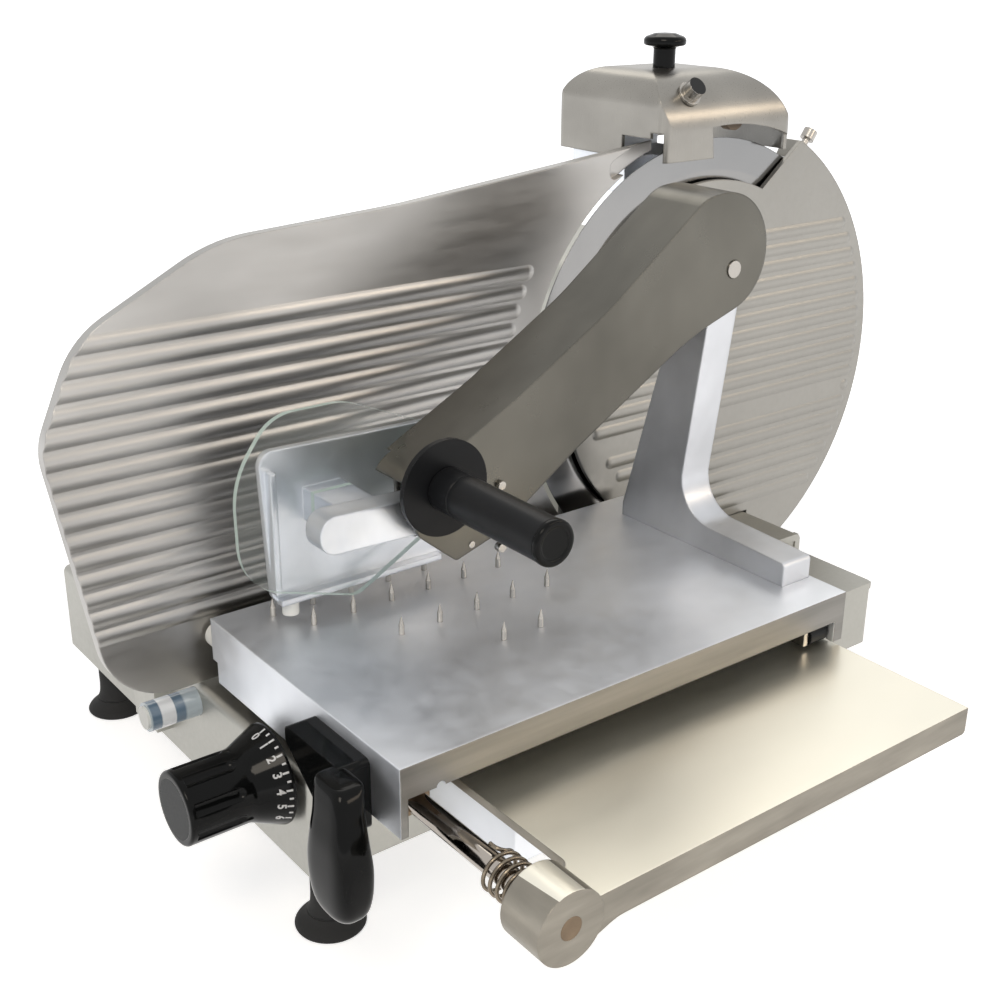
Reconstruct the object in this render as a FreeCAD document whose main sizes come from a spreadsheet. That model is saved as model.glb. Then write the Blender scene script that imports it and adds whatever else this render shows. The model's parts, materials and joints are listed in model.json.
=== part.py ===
import FreeCAD, Part
import math
import os
import re

# Vertical-feed slicing machine. Millimetres, +Z up, X along the cut, Y away from the operator.
# Lengths are drawn from the blade's centre, with the cut plane at Y = 0. Every sub-part's Placement
# adds frame_x, frame_y and blade_height, so the origin is on the worktop under the machine's middle.

SIZES = {
    "frame_x": 170.2, "frame_y": 46.5, "blade_height": 280, "blade_radius": 175, "blade_thick": 3.5,
    "cover_radius": 143, "ring_radius": 204.5, "ring_shift": -12.6, "ring_gap": 3.5, "ring_depth": 15, "cover_thick": 4,
    "rib_pitch": 13.6, "rib_radius": 10, "rib_sink": 8.3, "rib_top": 93.2, "rib_count": 15,
    "gauge_thick": 8, "gauge_left": -546.5, "gauge_low": -150, "gauge_clear": 4,
    "hood_left": -70, "hood_right": 70, "hood_front": -20, "hood_back": 104, "hood_top": 226,
    "hood_low": 163, "hood_wall": 3, "hood_round": 42, "hood_bend": 9, "hood_side": 24,
    "spindle_radius": 12.5, "bearing_radius": 26, "bearing_wide": 15, "hub_radius": 40,
    "hub_start": 16, "hub_end": 62, "flange_radius": 45, "pulley_start": 68, "pulley_wide": 18,
    "big_pulley": 52, "small_pulley": 20, "motor_x": -14, "motor_z": -90, "motor_radius": 58,
    "motor_start": 96, "motor_long": 120, "belt_thick": 4,
    "base_left": -460, "base_right": 68, "base_front": -147, "base_back": 245, "base_low": -222,
    "base_top": -152, "base_step": -168, "base_wall": 6,
    "foot_radius": 24, "foot_stem": 13, "foot_inset": 25, "foot_tall": 58,
    "guide_y": -110, "guide_z": -192, "guide_radius": 10, "slot_half": 18, "slot_left": -412,
    "slot_right": 26, "lug_left": -436, "lug_right": 36, "lug_wide": 12,
    "plate_left": -400, "plate_right": -93, "plate_front": -346, "plate_back": -22,
    "plate_top": -135, "plate_thick": 6, "rod_x": -426, "rod_z": -143,
    "rod_radius": 7, "boss_radius": 22, "boss_long": 30,
    "table_left": -454, "table_right": -87, "table_front": -238, "table_back": -15,
    "table_top": -97, "table_thick": 6, "side_deep": 45, "apron_deep": 20.5, "table_wall": 5,
    "spike_tall": 12.5, "spike_radius": 1.9, "spike_pitch": 30,
    "roller_radius": 8, "roller_x": -114, "roller_long": 17,
    "post_left": -117, "post_right": -90, "pivot_x": -103, "pivot_z": 108.7, "pivot_radius": 6,
    "arm_front": -128, "arm_back": -78, "arm_wall": 4, "grip_x": -348, "grip_z": 7,
    "grip_radius": 14.2, "grip_long": 104, "disc_radius": 31, "disc_thick": 4, "stud_radius": 5,
    "tray_left": -432, "tray_right": -296, "tray_low": -80, "tray_high": 24, "tray_y": -48,
    "tray_thick": 5, "lug_x": -338, "lug_z": -18, "guard_thick": 4,
    "dial_y": -109, "dial_z": -162, "dial_ring": 32.5, "dial_grip": 23.5, "dial_long": 64,
    "dial_gap": 5, "pinion_radius": 7.5, "cam_radius": 20, "cam_y": -94, "cam_z": -186,
    "switch_y": 5, "switch_z": -166, "switch_radius": 10.2, "switch_long": 36,
    "knob_x": -24, "knob_y": 32,
    "wire": 1.2, "spring_radius": 12, "spring_turns": 4, "spring_pitch": 6,
}

doc = FreeCAD.newDocument("slicer")
sheet = doc.addObject("Spreadsheet::Sheet", "Sizes")
for row, (word, value) in enumerate(SIZES.items(), 1):
    sheet.set(f"A{row}", word)
    sheet.set(f"B{row}", str(value))
    sheet.setAlias(f"B{row}", word)
doc.recompute()

parts = []
V = FreeCAD.Vector


def val(word):
    """A driving dimension, read from the sheet."""
    return float(sheet.get(word))


def bind(obj, prop, text):
    """Bind a property to an expression of the sheet's words."""
    full = re.sub(r"[a-z_]{3,}", lambda m: "Sizes." + m.group() if m.group() in SIZES else m.group(), str(text))
    obj.setExpression(prop, full)


spots = {}


def place(obj, spot):
    """Bind an object's place to three expressions."""
    spots[obj.Name] = spot
    for axis, text in zip("xyz", spot):
        bind(obj, f"Placement.Base.{axis}", text)


def add(obj, name):
    """Register a finished sub-part and shift it from the blade's centre to the row's frame."""
    obj.Label = name
    spot = spots.get(obj.Name, (0, 0, 0))
    for axis, text, shift in zip("xyz", spot, ("frame_x", "frame_y", "blade_height")):
        bind(obj, f"Placement.Base.{axis}", f"{shift} + ({text})")
    parts.append(obj)
    return obj


def box(spot, dims):
    """Box from its low corner and its three lengths."""
    obj = doc.addObject("Part::Box", "block")
    for prop, text in zip(("Length", "Width", "Height"), dims):
        bind(obj, prop, text)
    place(obj, spot)
    return obj


TURN = {
    "x": FreeCAD.Rotation(V(0, 1, 0), 90), "y": FreeCAD.Rotation(V(1, 0, 0), -90), "z": FreeCAD.Rotation(),
}


def rod(axis, spot, radius, length):
    """Round bar that starts at a point and runs the positive way along an axis."""
    obj = doc.addObject("Part::Cylinder", "bar")
    obj.Placement = FreeCAD.Placement(V(), TURN[axis])
    bind(obj, "Radius", radius)
    bind(obj, "Height", length)
    place(obj, spot)
    return obj


def cone(axis, spot, first, last, length):
    """Cone frustum that starts at a point and runs the positive way along an axis."""
    obj = doc.addObject("Part::Cone", "taper")
    obj.Placement = FreeCAD.Placement(V(), TURN[axis])
    bind(obj, "Radius1", first)
    bind(obj, "Radius2", last)
    bind(obj, "Height", length)
    place(obj, spot)
    return obj


def ball(spot, radius):
    """Sphere about a point."""
    obj = doc.addObject("Part::Sphere", "ball")
    bind(obj, "Radius", radius)
    place(obj, spot)
    return obj


def join(*items):
    """One solid, or a group of separate solids, from several."""
    obj = doc.addObject("Part::MultiFuse", "union")
    obj.Shapes = list(items)
    return obj


def cut(base, *tools):
    """The base without the tools."""
    obj = doc.addObject("Part::Cut", "cut")
    obj.Base = base
    obj.Tool = tools[0] if len(tools) == 1 else join(*tools)
    return obj


def common(first, second):
    """What two solids share."""
    obj = doc.addObject("Part::MultiCommon", "common")
    obj.Shapes = [first, second]
    return obj


def corners(points):
    """Edges of a closed polygon whose corners (x, y, radius) may be rounded."""
    spots = []
    count = len(points)
    for i, point in enumerate(points):
        here = V(point[0], point[1], 0)
        radius = point[2] if len(point) > 2 else 0
        if not radius:
            spots.append((here, here, here))
            continue
        back = (V(*points[i - 1][:2], 0) - here).normalize()
        ahead = (V(*points[(i + 1) % count][:2], 0) - here).normalize()
        half = back.getAngle(ahead) / 2
        reach = radius / math.tan(half)
        middle = (back + ahead).normalize() * (radius / math.sin(half) - radius)
        spots.append((here + back * reach, here + middle, here + ahead * reach))
    edges = []
    for i, (start, middle, end) in enumerate(spots):
        if (end - start).Length > 1e-6:
            edges.append(Part.Arc(start, middle, end))
        edges.append(Part.LineSegment(end, spots[(i + 1) % count][0]))
    return edges


def arc(centre, radius, start, end):
    """Arc through three of its points, from one angle in degrees to another."""
    spots = []
    for angle in (start, (start + end) / 2, end):
        turn = math.radians(angle)
        spots.append(V(centre[0] + radius * math.cos(turn), centre[1] + radius * math.sin(turn), 0))
    return Part.Arc(*spots)


def line(first, last):
    """Straight edge between two points given as pairs."""
    return Part.LineSegment(V(first[0], first[1], 0), V(last[0], last[1], 0))


def sketch(body, role, edges):
    """Sketch on one of the body's own origin planes."""
    plan = body.newObject("Sketcher::SketchObject", "outline")
    plane = [item for item in body.Origin.OriginFeatures if item.Role == role][0]
    plan.AttachmentSupport = [(plane, "")]
    plan.MapMode = "FlatFace"
    plan.addGeometry(edges, False)
    return plan


def pad(role, edges, start, length):
    """Body padded from a sketch: toward -Y on XZ_Plane, +X on YZ_Plane, +Z on XY_Plane."""
    body = doc.addObject("PartDesign::Body", "body")
    plan = sketch(body, role, edges)
    axis = {"XZ_Plane": "y", "YZ_Plane": "x", "XY_Plane": "z"}[role]
    solid = body.newObject("PartDesign::Pad", "pad")
    solid.Profile = plan
    bind(solid, "Length", length)
    body.Tip = solid
    bind(body, f"Placement.Base.{axis}", start)
    spots[body.Name] = [start if letter == axis else 0 for letter in "xyz"]
    return body


def turned(role, edges, axis):
    """Body turned about a sketch axis (H_Axis or V_Axis)."""
    body = doc.addObject("PartDesign::Body", "body")
    plan = sketch(body, role, edges)
    solid = body.newObject("PartDesign::Revolution", "turning")
    solid.Profile = plan
    solid.ReferenceAxis = (plan, [axis])
    solid.Angle = 360
    body.Tip = solid
    return body


def moved(obj, spot):
    """A body put at a place given by three expressions."""
    place(obj, spot)
    return obj


def polar(radius, angle, centre=(0, 0)):
    """Point at a radius and an angle in degrees."""
    turn = math.radians(angle)
    return (centre[0] + radius * math.cos(turn), centre[1] + radius * math.sin(turn))


# Base, bottom plate and feet

def lug(left, front, wide, deep, low):
    """Lug that hangs from the base's ceiling to a given level."""
    return box((left, front, low), (wide, deep, f"base_top - base_wall + 1 - ({low})"))


def make_base():
    """Cast base: a shell open below, with lugs for the guides inside and a lower front corner."""
    outer = rounded(box(("base_left", "base_front", "base_low - 8"),
                        ("base_right - base_left", "base_back - base_front", "base_top - base_low + 8")), 6)
    below = box(("base_left - 1", "base_front - 1", "base_low - 9"),
                ("base_right - base_left + 2", "base_back - base_front + 2", 9))
    nose = box(("base_left - 12", 48, -208), (36, 36, 46))
    hollow = box(("base_left + base_wall", "base_front + base_wall", "base_low - 1"),
                 ("base_right - base_left - 2 * base_wall", "base_back - base_front - 2 * base_wall",
                  "base_top - base_low - base_wall + 1"))
    step = box((-14, "base_front - 1", "base_step"), (100, 80, 40))
    step_shelf = box((-20, "base_front + 1", "base_step - base_wall"), ("base_right + 19", 84, "base_wall"))
    step_wall = box((-20, "base_front + 1", "base_step - 1"), ("base_wall", 84, "base_top - base_step"))
    step_back = box((-20, "base_front + 80", "base_step - 1"), ("base_right + 19", 5, "base_top - base_step"))
    slot = box(("slot_left", "guide_y - slot_half", "base_step - base_wall - 2"),
               ("slot_right - slot_left", "2 * slot_half", 60))
    lugs = [lug("lug_left", "guide_y - 16", "lug_wide", 32, "guide_z - 16"),
            lug("lug_right", "guide_y - 16", "lug_wide", 32, "guide_z - 16")]
    lug_tops = box(("lug_right", "guide_y - 16", "base_step - 0.01"), ("lug_wide", 32, 40))
    for left in (-402, -242):
        lugs += [lug(left, -70, 24, 10, -216), lug(left, 112, 24, 10, -216)]
    guide_bore = rod("x", ("lug_left - 1", "guide_y", "guide_z"), "guide_radius + 0.02",
                     "lug_right - lug_left + lug_wide + 2")
    bar_bores = [rod("y", (x, -71, -203), 6.02, 194) for x in (-390, -230)]
    dial_hole = rod("x", ("base_left - 1", "dial_y", "dial_z"), 5.05, "base_wall + 2")
    dial_room = rod("x", ("base_left + base_wall - 1", "dial_y", "dial_z"), "pinion_radius + 0.5", 13)
    switch_hole = rod("x", ("base_left - 1", "switch_y", "switch_z"), "switch_radius + 0.05", 12)
    gland_hole = rod("y", (-100, "base_back - base_wall - 1", -195), 9.05, "base_wall + 2")
    gauge_slots = [box((left, 34, "base_top - base_wall - 1"), (16, 56, "base_wall + 2"))
                   for left in (-398, -238)]
    blade_slot = box((-105, -4, -180), ("base_right + 106", 20, 40))
    cam_axle = rod("x", ("base_left + 1", "cam_y", "cam_z"), 4, "base_wall + 8")
    shell = cut(join(outer, nose), hollow, step, below)
    whole = cut(join(shell, step_shelf, step_wall, step_back, cam_axle, *lugs), lug_tops)
    return add(cut(whole, slot, blade_slot, guide_bore, *bar_bores, dial_hole, dial_room, switch_hole, gland_hole,
                   *gauge_slots), "base_housing")


def make_bottom_plate():
    """Sheet that closes the base from below."""
    panel = box(("base_left + base_wall + 0.3", "base_front + base_wall + 0.3", "base_low"),
                ("base_right - base_left - 2 * base_wall - 0.6",
                 "base_back - base_front - 2 * base_wall - 0.6", 2))
    return add(panel, "base_bottom_plate")


def corner_spots():
    """The four places of the feet as expressions."""
    return [(side, end) for side in ("base_left + foot_inset", "base_right - foot_inset")
            for end in ("base_front + foot_inset", "base_back - foot_inset")]


def make_feet():
    """Four rubber feet: a stem that flares to a suction lip."""
    feet = []
    for side, end in corner_spots():
        stem = rod("z", (side, end, "base_low - foot_tall + 14"), "foot_stem", "foot_tall - 14")
        flare = cone("z", (side, end, "base_low - foot_tall + 3"), "foot_radius - 1", "foot_stem", 14)
        lip = rod("z", (side, end, "base_low - foot_tall"), "foot_radius", 3)
        feet.append(join(stem, flare, lip))
    return add(join(*feet), "rubber_feet")


def make_foot_screws():
    """Hexagon screws that hold the feet through the bottom plate."""
    screws = [rod("z", (side, end, "base_low + 2"), 6, 5) for side, end in corner_spots()]
    return add(join(*screws), "foot_screws")


# Blade, its spindle and its support

def make_blade():
    """Round blade, ground from behind, with its bore and four screw holes."""
    rim = val("blade_radius")
    thick = val("blade_thick")
    profile = corners([(16, 2.5), (138, 2.5), (150, 1.2), (rim, 0.4), (rim, 0.8), (162, 2 + thick / 2),
                       (140, 2.5 + thick), (16, 2.5 + thick)])
    disc = turned("XY_Plane", profile, "V_Axis")
    holes = [rod("y", (x, 0, z), 2.6, 12) for x, z in (polar(34, 45 + 90 * k) for k in range(4))]
    return add(cut(disc, *holes), "blade")


def make_blade_screws():
    """Four countersunk screws through the blade into the spindle's flange."""
    screws = []
    for k in range(4):
        x, z = polar(34, 45 + 90 * k)
        screws.append(rod("y", (x, 1.7, z), 2.5, 9))
    return add(join(*screws), "blade_screws")


def make_spindle():
    """Spindle with the flange that carries the blade."""
    flange = rod("y", (0, "2.5 + blade_thick", 0), "flange_radius", 5)
    nose = rod("y", (0, 2.2, 0), 15.95, 4.5)
    shaft = rod("y", (0, 8, 0), "spindle_radius", "pulley_start + pulley_wide")
    holes = [rod("y", (x, 2, z), 2.5, 8.7) for x, z in (polar(34, 45 + 90 * k) for k in range(4))]
    return add(cut(join(flange, nose, shaft), *holes), "blade_spindle")


def make_bearings():
    """Two ball bearings, drawn as plain rings with the sealed races' step."""
    rings = []
    for start in ("hub_start + 2", "hub_end - bearing_wide - 2"):
        ring = rod("y", (0, start, 0), "bearing_radius", "bearing_wide")
        bore = rod("y", (0, f"{start} - 1", 0), "spindle_radius + 0.02", "bearing_wide + 2")
        rings.append(cut(ring, bore))
    return add(join(*rings), "spindle_bearings")


def make_blade_support():
    """Cast upright: a web on the base, the spindle's hub, arms to the ring and a neck to the sharpener."""
    foot = val("base_top") + 0.02
    web = pad("XZ_Plane", corners([(-58, foot), (-45, 20, 40), (-24, 60, 20), (-24, 160), (24, 160),
                                   (24, 60, 20), (45, 20, 40), (58, foot)]), 40, 20)
    hub = rod("y", (0, "hub_start", 0), "hub_radius", "hub_end - hub_start")
    bore = rod("y", (0, "hub_start + 2", 0), "bearing_radius + 0.02", "hub_end - hub_start")
    neck_bore = rod("y", (0, "hub_start - 1", 0), "spindle_radius + 3", 10)
    low_arm = box((20, "ring_depth + 0.02", -120), (150, 26, 18))
    high_arm = box((10, "ring_depth + 0.02", 96), (142, 26, 18))
    neck = box((-54, 39, 132), (78, "hood_back - hood_wall - 39", 28))
    stem = box((-24, "hood_back - hood_wall - 16", 132), (48, 15.98, 50))
    return add(cut(join(web, hub, low_arm, high_arm, neck, stem), bore, neck_bore), "blade_support")


def ring_arc(angle):
    """Where a ray from the blade's centre at an angle meets the ring's outer circle."""
    shift = val("ring_shift")
    turn = math.radians(angle)
    along = shift * math.sin(turn)
    reach = along + math.sqrt(val("ring_radius") ** 2 - shift ** 2 + along ** 2)
    return (reach * math.cos(turn), reach * math.sin(turn))


def ring_edges(inner, start, end):
    """Sector between an inner circle about the blade and the ring's outer circle, anticlockwise."""
    first = ring_arc(start)
    last = ring_arc(end)
    middle = ring_arc((start + end) / 2)
    outer = Part.Arc(V(*first, 0), V(*middle, 0), V(*last, 0))
    return [line(polar(inner, start), first), outer, line(last, polar(inner, end)),
            arc((0, 0), inner, end, start)]


def base_room():
    """Room of the base that the ring and the cover are cut away for."""
    return box((-230, -30, -230), ("base_right + 230.4", 60, "base_top + 230.4"))


def make_ring_guard():
    """Guard ring round the back half of the blade's edge."""
    ring = pad("XZ_Plane", ring_edges(val("blade_radius") + val("ring_gap"), -118, 59), "ring_depth",
               "ring_depth + 0.98")
    return add(cut(ring, base_room()), "ring_guard")


def make_cover():
    """Ribbed cover over the blade's front, cut back at the top for the sharpening stones."""
    inner = val("cover_radius")
    start, end = -118, 59
    first = ring_arc(start)
    middle = ring_arc((start + end) / 2)
    last = ring_arc(end)
    edges = [line(polar(inner, start), first), Part.Arc(V(*first, 0), V(*middle, 0), V(*last, 0)),
             line(last, polar(inner, 66.5)), arc((0, 0), inner, 66.5, 360 + start)]
    panel = pad("XZ_Plane", edges, -1, "cover_thick")
    ribs = []
    for k in range(int(val("rib_count")) + 3):
        z = val("rib_top") - 0.7 - k * val("rib_pitch")
        left = -math.sqrt(max(120 ** 2 - z ** 2, 0))
        right = math.sqrt((val("ring_radius") - 13) ** 2 - (z - val("ring_shift")) ** 2)
        ribs.append(rod("x", (left, 3.6, z), "rib_radius", right - left))
        ribs.append(ball((left, 3.6, z), "rib_radius"))
        ribs.append(ball((right, 3.6, z), "rib_radius"))
    front = box((-220, -20, -220), (440, 19, 440))
    return add(cut(common(join(panel, *ribs), front), base_room()), "blade_cover")


def make_thumbscrew():
    """Knurled screw that clamps the cover to the guard ring."""
    head = rod("z", (0, 0, 9), 6, 8)
    neck = rod("z", (0, 0, 0.2), 3, 10)
    screw = join(head, neck)
    turn = math.radians(54)
    out = ring_arc(54)
    screw.Placement = FreeCAD.Placement(V(), FreeCAD.Rotation(V(0, 1, 0), 90 - math.degrees(turn)))
    spots[screw.Name] = (f"{out[0]:.3f}", 7, f"{out[1]:.3f}")
    return add(screw, "cover_thumbscrew")


# Drive

def make_drive():
    """Motor with its shaft, both pulleys and the belt."""
    x, z = "motor_x", "motor_z"
    can = rod("y", (x, "motor_start", z), "motor_radius", "motor_long")
    nose = rod("y", (x, "motor_start - 6", z), 20, 8)
    foot = box(("motor_x - 45", "motor_start + 10", "base_top + 0.02"), (90, "motor_long - 20", 16))
    bore = rod("y", (x, "motor_start - 7", z), 7.05, 40)
    add(cut(join(can, nose, foot), bore), "motor_body")
    add(rod("y", (x, "pulley_start", z), 7, "motor_start + 20 - pulley_start"), "motor_shaft")
    small = cut(rod("y", (x, "pulley_start", z), "small_pulley", "pulley_wide"),
                rod("y", (x, "pulley_start - 1", z), 7.02, "pulley_wide + 2"))
    add(small, "motor_pulley")
    big = cut(rod("y", (0, "pulley_start", 0), "big_pulley", "pulley_wide"),
              rod("y", (0, "pulley_start - 1", 0), "spindle_radius + 0.02", "pulley_wide + 2"))
    add(big, "blade_pulley")
    gap = 0.3
    dx, dz = val("motor_x"), val("motor_z")
    span = math.hypot(dx, dz)
    base_angle = math.degrees(math.atan2(dz, dx))

    def loop(extra):
        """Stadium round both pulleys, wider by extra: two arcs and the tangents."""
        big_r = val("big_pulley") + extra
        small_r = val("small_pulley") + extra
        lean = math.degrees(math.acos((big_r - small_r) / span))
        first, last = base_angle + lean, base_angle - lean
        centre = (dx, dz)
        return [arc((0, 0), big_r, first, last + 360), line(polar(big_r, last), polar(small_r, last, centre)),
                arc(centre, small_r, last, first),
                line(polar(small_r, first, centre), polar(big_r, first))]
    outer = pad("XZ_Plane", loop(gap + val("belt_thick")), "pulley_start + pulley_wide - 2", "pulley_wide - 4")
    inner = pad("XZ_Plane", loop(gap), "pulley_start + pulley_wide", "pulley_wide")
    add(cut(outer, inner), "drive_belt")


def make_rear_housing():
    """Rear cover over the motor and belt, open toward the blade and below."""
    rounding = 30
    outer = pad("XZ_Plane", corners([(-90, val("base_top") + 0.02), (-90, 74, rounding), (62, 74, rounding),
                                     (62, val("base_top") + 0.02)]), 236, 170)
    inner = pad("XZ_Plane", corners([(-87, val("base_top") - 1), (-87, 71, rounding - 3),
                                     (59, 71, rounding - 3), (59, val("base_top") - 1)]), 233, 170)
    return add(cut(outer, inner), "motor_housing")


# Sharpener

def hood_block(inset):
    """Hood's outer or inner block: what its front, side and plan outlines share."""
    left, right = val("hood_left") + inset, val("hood_right") - inset
    top, low = val("hood_top") - inset, val("hood_low") - (40 if inset else 0)
    along = pad("XZ_Plane", corners([(left, low), (left, top, val("hood_side") - inset),
                                     (right, top, 62 - inset), (right, low)]), 200, 300)
    front, back = val("hood_front") + inset, val("hood_back") - inset
    rounding = val("hood_round") - inset
    across = pad("YZ_Plane", corners([(front, low), (front, top, rounding), (back, top, rounding),
                                      (back, low)]), -100, 200)
    bend = val("hood_bend") - inset
    plan = pad("XY_Plane", corners([(left, front, bend), (right, front, bend), (right, back, bend),
                                    (left, back, bend)]), 100, 300)
    return common(common(along, across), plan)


def button_spot(reach):
    """Place on the hood's rounded front edge, on the slanted axis of the honing button."""
    middle = V(-39, val("hood_front") + val("hood_round"), val("hood_top") - val("hood_round"))
    slant = FreeCAD.Rotation(V(1, 0, 0), 52)
    return FreeCAD.Placement(middle + slant.multVec(V(0, 0, reach)), slant)


def make_hood():
    """Sharpener hood with its mouth over the blade's edge and the holes for knob and button."""
    mouth = pad("XZ_Plane", [arc((0, 0), 187, 62, 96), line(polar(187, 96), polar(140, 96)),
                             line(polar(140, 96), polar(140, 62)), line(polar(140, 62), polar(187, 62))],
                "hood_front + hood_wall + 1", 10)
    knob_hole = rod("z", ("knob_x", "knob_y", "hood_top - 8"), 8.55, 12)
    notch = join(box(("hood_left - 1", "hood_front + hood_wall", "hood_low - 1"), ("hood_side", 12, 22)),
                 box(("hood_left - 1", "hood_front + hood_wall", "hood_low - 1"), ("hood_side", 43, 17.5)))
    button_hole = doc.addObject("Part::Cylinder", "bar")
    button_hole.Radius = 7.9
    button_hole.Height = 20
    button_hole.Placement = button_spot(val("hood_round") - 10)
    return add(cut(hood_block(0), hood_block(val("hood_wall")), mouth, notch, knob_hole, button_hole),
               "sharpener_hood")


def slanted(radius, start, length):
    """Round piece on the honing button's slanted axis."""
    piece = doc.addObject("Part::Cylinder", "bar")
    piece.Radius = radius
    piece.Height = length
    piece.Placement = button_spot(start)
    return piece


def make_button():
    """Honing button: a metal plunger with a dark end, in a flanged collar."""
    stem = slanted(7.2, val("hood_round") - 12, 24)
    spots[stem.Name] = [f"{part:.4f}" for part in stem.Placement.Base]
    add(stem, "honing_button")
    add(cut(slanted(9.4, val("hood_round") + 0.02, 2.5), slanted(7.25, val("hood_round") - 1, 8)),
        "button_collar")


def make_sharpener():
    """Mushroom knob and the carrier it lowers, with both stones on their pins."""
    profile = corners([(0, 219), (6, 219), (6, 224), (8.5, 224), (8.5, 240.6, 2), (16.3, 242.6, 2),
                       (16.3, 248, 4), (8, 251, 6), (0, 251.5)])
    knob = turned("XZ_Plane", profile, "V_Axis")
    add(moved(knob, ("knob_x", "knob_y", 0)), "sharpener_knob")
    plate = box((-30, -2, 209), (58, 48, 5))
    tab_back = box((-30, 18.5, 188), (12, 4, 25))
    tab_front = box((6, -2, 190), (12, 4, 23))
    post = rod("z", ("knob_x", "knob_y", 213), 6, 6)
    pin_back = rod("y", (-24, 7, 195), 3, 14)
    pin_front = rod("y", (12, -14, 191.5), 3, 14)
    add(join(plate, tab_back, tab_front, post, pin_back, pin_front), "stone_carrier")
    for name, x, y, z, radius in (("grinding_stone", -24, 9, 195, 13.5), ("honing_stone", 12, -12, 191.5, 10.5)):
        stone = rod("y", (x, y, z), radius, 8)
        bore = rod("y", (x, y - 1, z), 3.05, 10)
        add(cut(stone, bore), name)


# Gauge plate and dial

def gauge_edges():
    """Outline of the thickness plate: long rounded back, concave edge round the blade."""
    low, left = val("gauge_low"), val("gauge_left")
    reach = val("blade_radius") + val("gauge_clear")
    top = (-58, math.sqrt(reach ** 2 - 58 ** 2))
    foot = (-math.sqrt(reach ** 2 - low ** 2), low)
    around = corners([(-58, 176.5), (-290, 152, 600), (-423.6, 144, 120), (-518, 96, 66), (left, 33, 45),
                      (-516.5, low, 50), foot, (-100, 0)])
    closed = around[:-2]
    closed += [Part.Arc(V(*foot, 0), V(-reach, 0, 0), V(*top, 0)), line(top, (-58, 176.5))]
    return closed


def make_gauge_plate():
    """Thickness plate with wide low ribs that run out at its left edge, and a finger recess by the hood."""
    plate = pad("XZ_Plane", gauge_edges(), "gauge_thick", "gauge_thick")
    ribs = []
    for k in range(int(val("rib_count"))):
        z = val("rib_top") - k * val("rib_pitch")
        right = -math.sqrt(203 ** 2 - z ** 2)
        ribs.append(rod("x", ("gauge_left - 5", "rib_sink", z), "rib_radius", f"{right} - gauge_left + 5"))
        ribs.append(ball((right, "rib_sink", z), "rib_radius"))
    front = pad("XZ_Plane", gauge_edges(), 4, 10)
    recess = pad("XZ_Plane", corners([(-104, 150, 5), (-104, 164, 6), (-50, 190), (-50, 168)]),
                 "gauge_thick - 2", "gauge_thick")
    return add(cut(join(plate, common(join(*ribs), front)), recess), "gauge_plate")


def make_gauge_slide():
    """Slide under the plate: two posts with bored feet, a beam and the follower's arm."""
    solids = []
    for x in (-390, -230):
        solids += [box((x - 6, 40, -193), (12, 24, 133)), box((x - 6, "gauge_thick + 0.02", -138), (12, 33, 78)),
                   box((x - 12, 36, -216), (24, 32, 30))]
    solids += [box((-442, 44, -193), (214, 16, 8)), box((-442, "cam_y - 4", -190), (5, 150, 8)),
               rod("x", (-444.4, "cam_y", "cam_z"), 2.5, 4)]
    bores = [rod("y", (x, 30, -203), 6.06, 44) for x in (-390, -230)]
    return add(cut(join(*solids), *bores), "gauge_slide")


def make_gauge_bars():
    """Two ground bars that the slide runs on."""
    return add(join(*[rod("y", (x, -72, -203), 6, 196) for x in (-390, -230)]), "gauge_guide_bars")


def make_dial():
    """Dial knob with flutes and a flared scale ring, its cap, shaft with pinion, and the cam gear."""
    grip, ring = val("dial_grip"), val("dial_ring")
    back = val("base_left") - val("dial_gap")
    front = back - val("dial_long")
    profile = corners([(front, 0), (front, grip, 2), (back - 22, grip, 12), (back - 1.5, ring), (back, ring),
                       (back, 0)])
    body = turned("XZ_Plane", profile, "H_Axis")
    tools = [rod("x", (front - 1, 0, 0), 19, 2.5), rod("x", (back - 22, 0, 0), 5.02, 23)]
    for k in range(8):
        y, z = polar(grip + 3.2, 22.5 + 45 * k)
        tools.append(rod("x", (front + 4, y, z), 5.5, 28))
        tools.append(ball((front + 32, y, z), 5.5))
    knob = cut(body, *tools)
    place(knob, (0, "dial_y", "dial_z"))
    add(knob, "dial_knob")
    add(rod("x", (front, "dial_y", "dial_z"), 18.9, 1.4), "dial_cap")
    shaft = rod("x", (back - 21.9, "dial_y", "dial_z"), 5, 38)
    pinion = rod("x", ("base_left + base_wall + 3", "dial_y", "dial_z"), "pinion_radius", 7)
    add(join(shaft, pinion), "dial_shaft")
    gear = rod("x", ("base_left + base_wall + 3.5", "cam_y", "cam_z"), "cam_radius", 5.5)
    bore = rod("x", ("base_left", "cam_y", "cam_z"), 4.05, 30)
    add(cut(gear, bore), "cam_gear")


def make_switch():
    """Power switch: a banded barrel on the base's left side and the push button in its end."""
    left = "base_left - switch_long"
    barrel = rod("x", (left, "switch_y", "switch_z"), "switch_radius", "switch_long + 10")
    well = rod("x", (f"{left} - 1", "switch_y", "switch_z"), 8.05, 12)
    add(cut(barrel, well), "switch_barrel")
    add(rod("x", (f"{left} - 2", "switch_y", "switch_z"), 8, 9), "switch_button")


def make_gland():
    """Cord gland at the rear."""
    sleeve = rod("y", (-100, "base_back - base_wall - 5", -195), 9, 22)
    nut = rod("y", (-100, "base_back + 0.02", -195), 13, 8)
    bore = rod("y", (-100, "base_back - base_wall - 6", -195), 4.5, 30)
    return add(cut(join(sleeve, nut), bore), "cord_gland")


# Carriage

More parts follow.
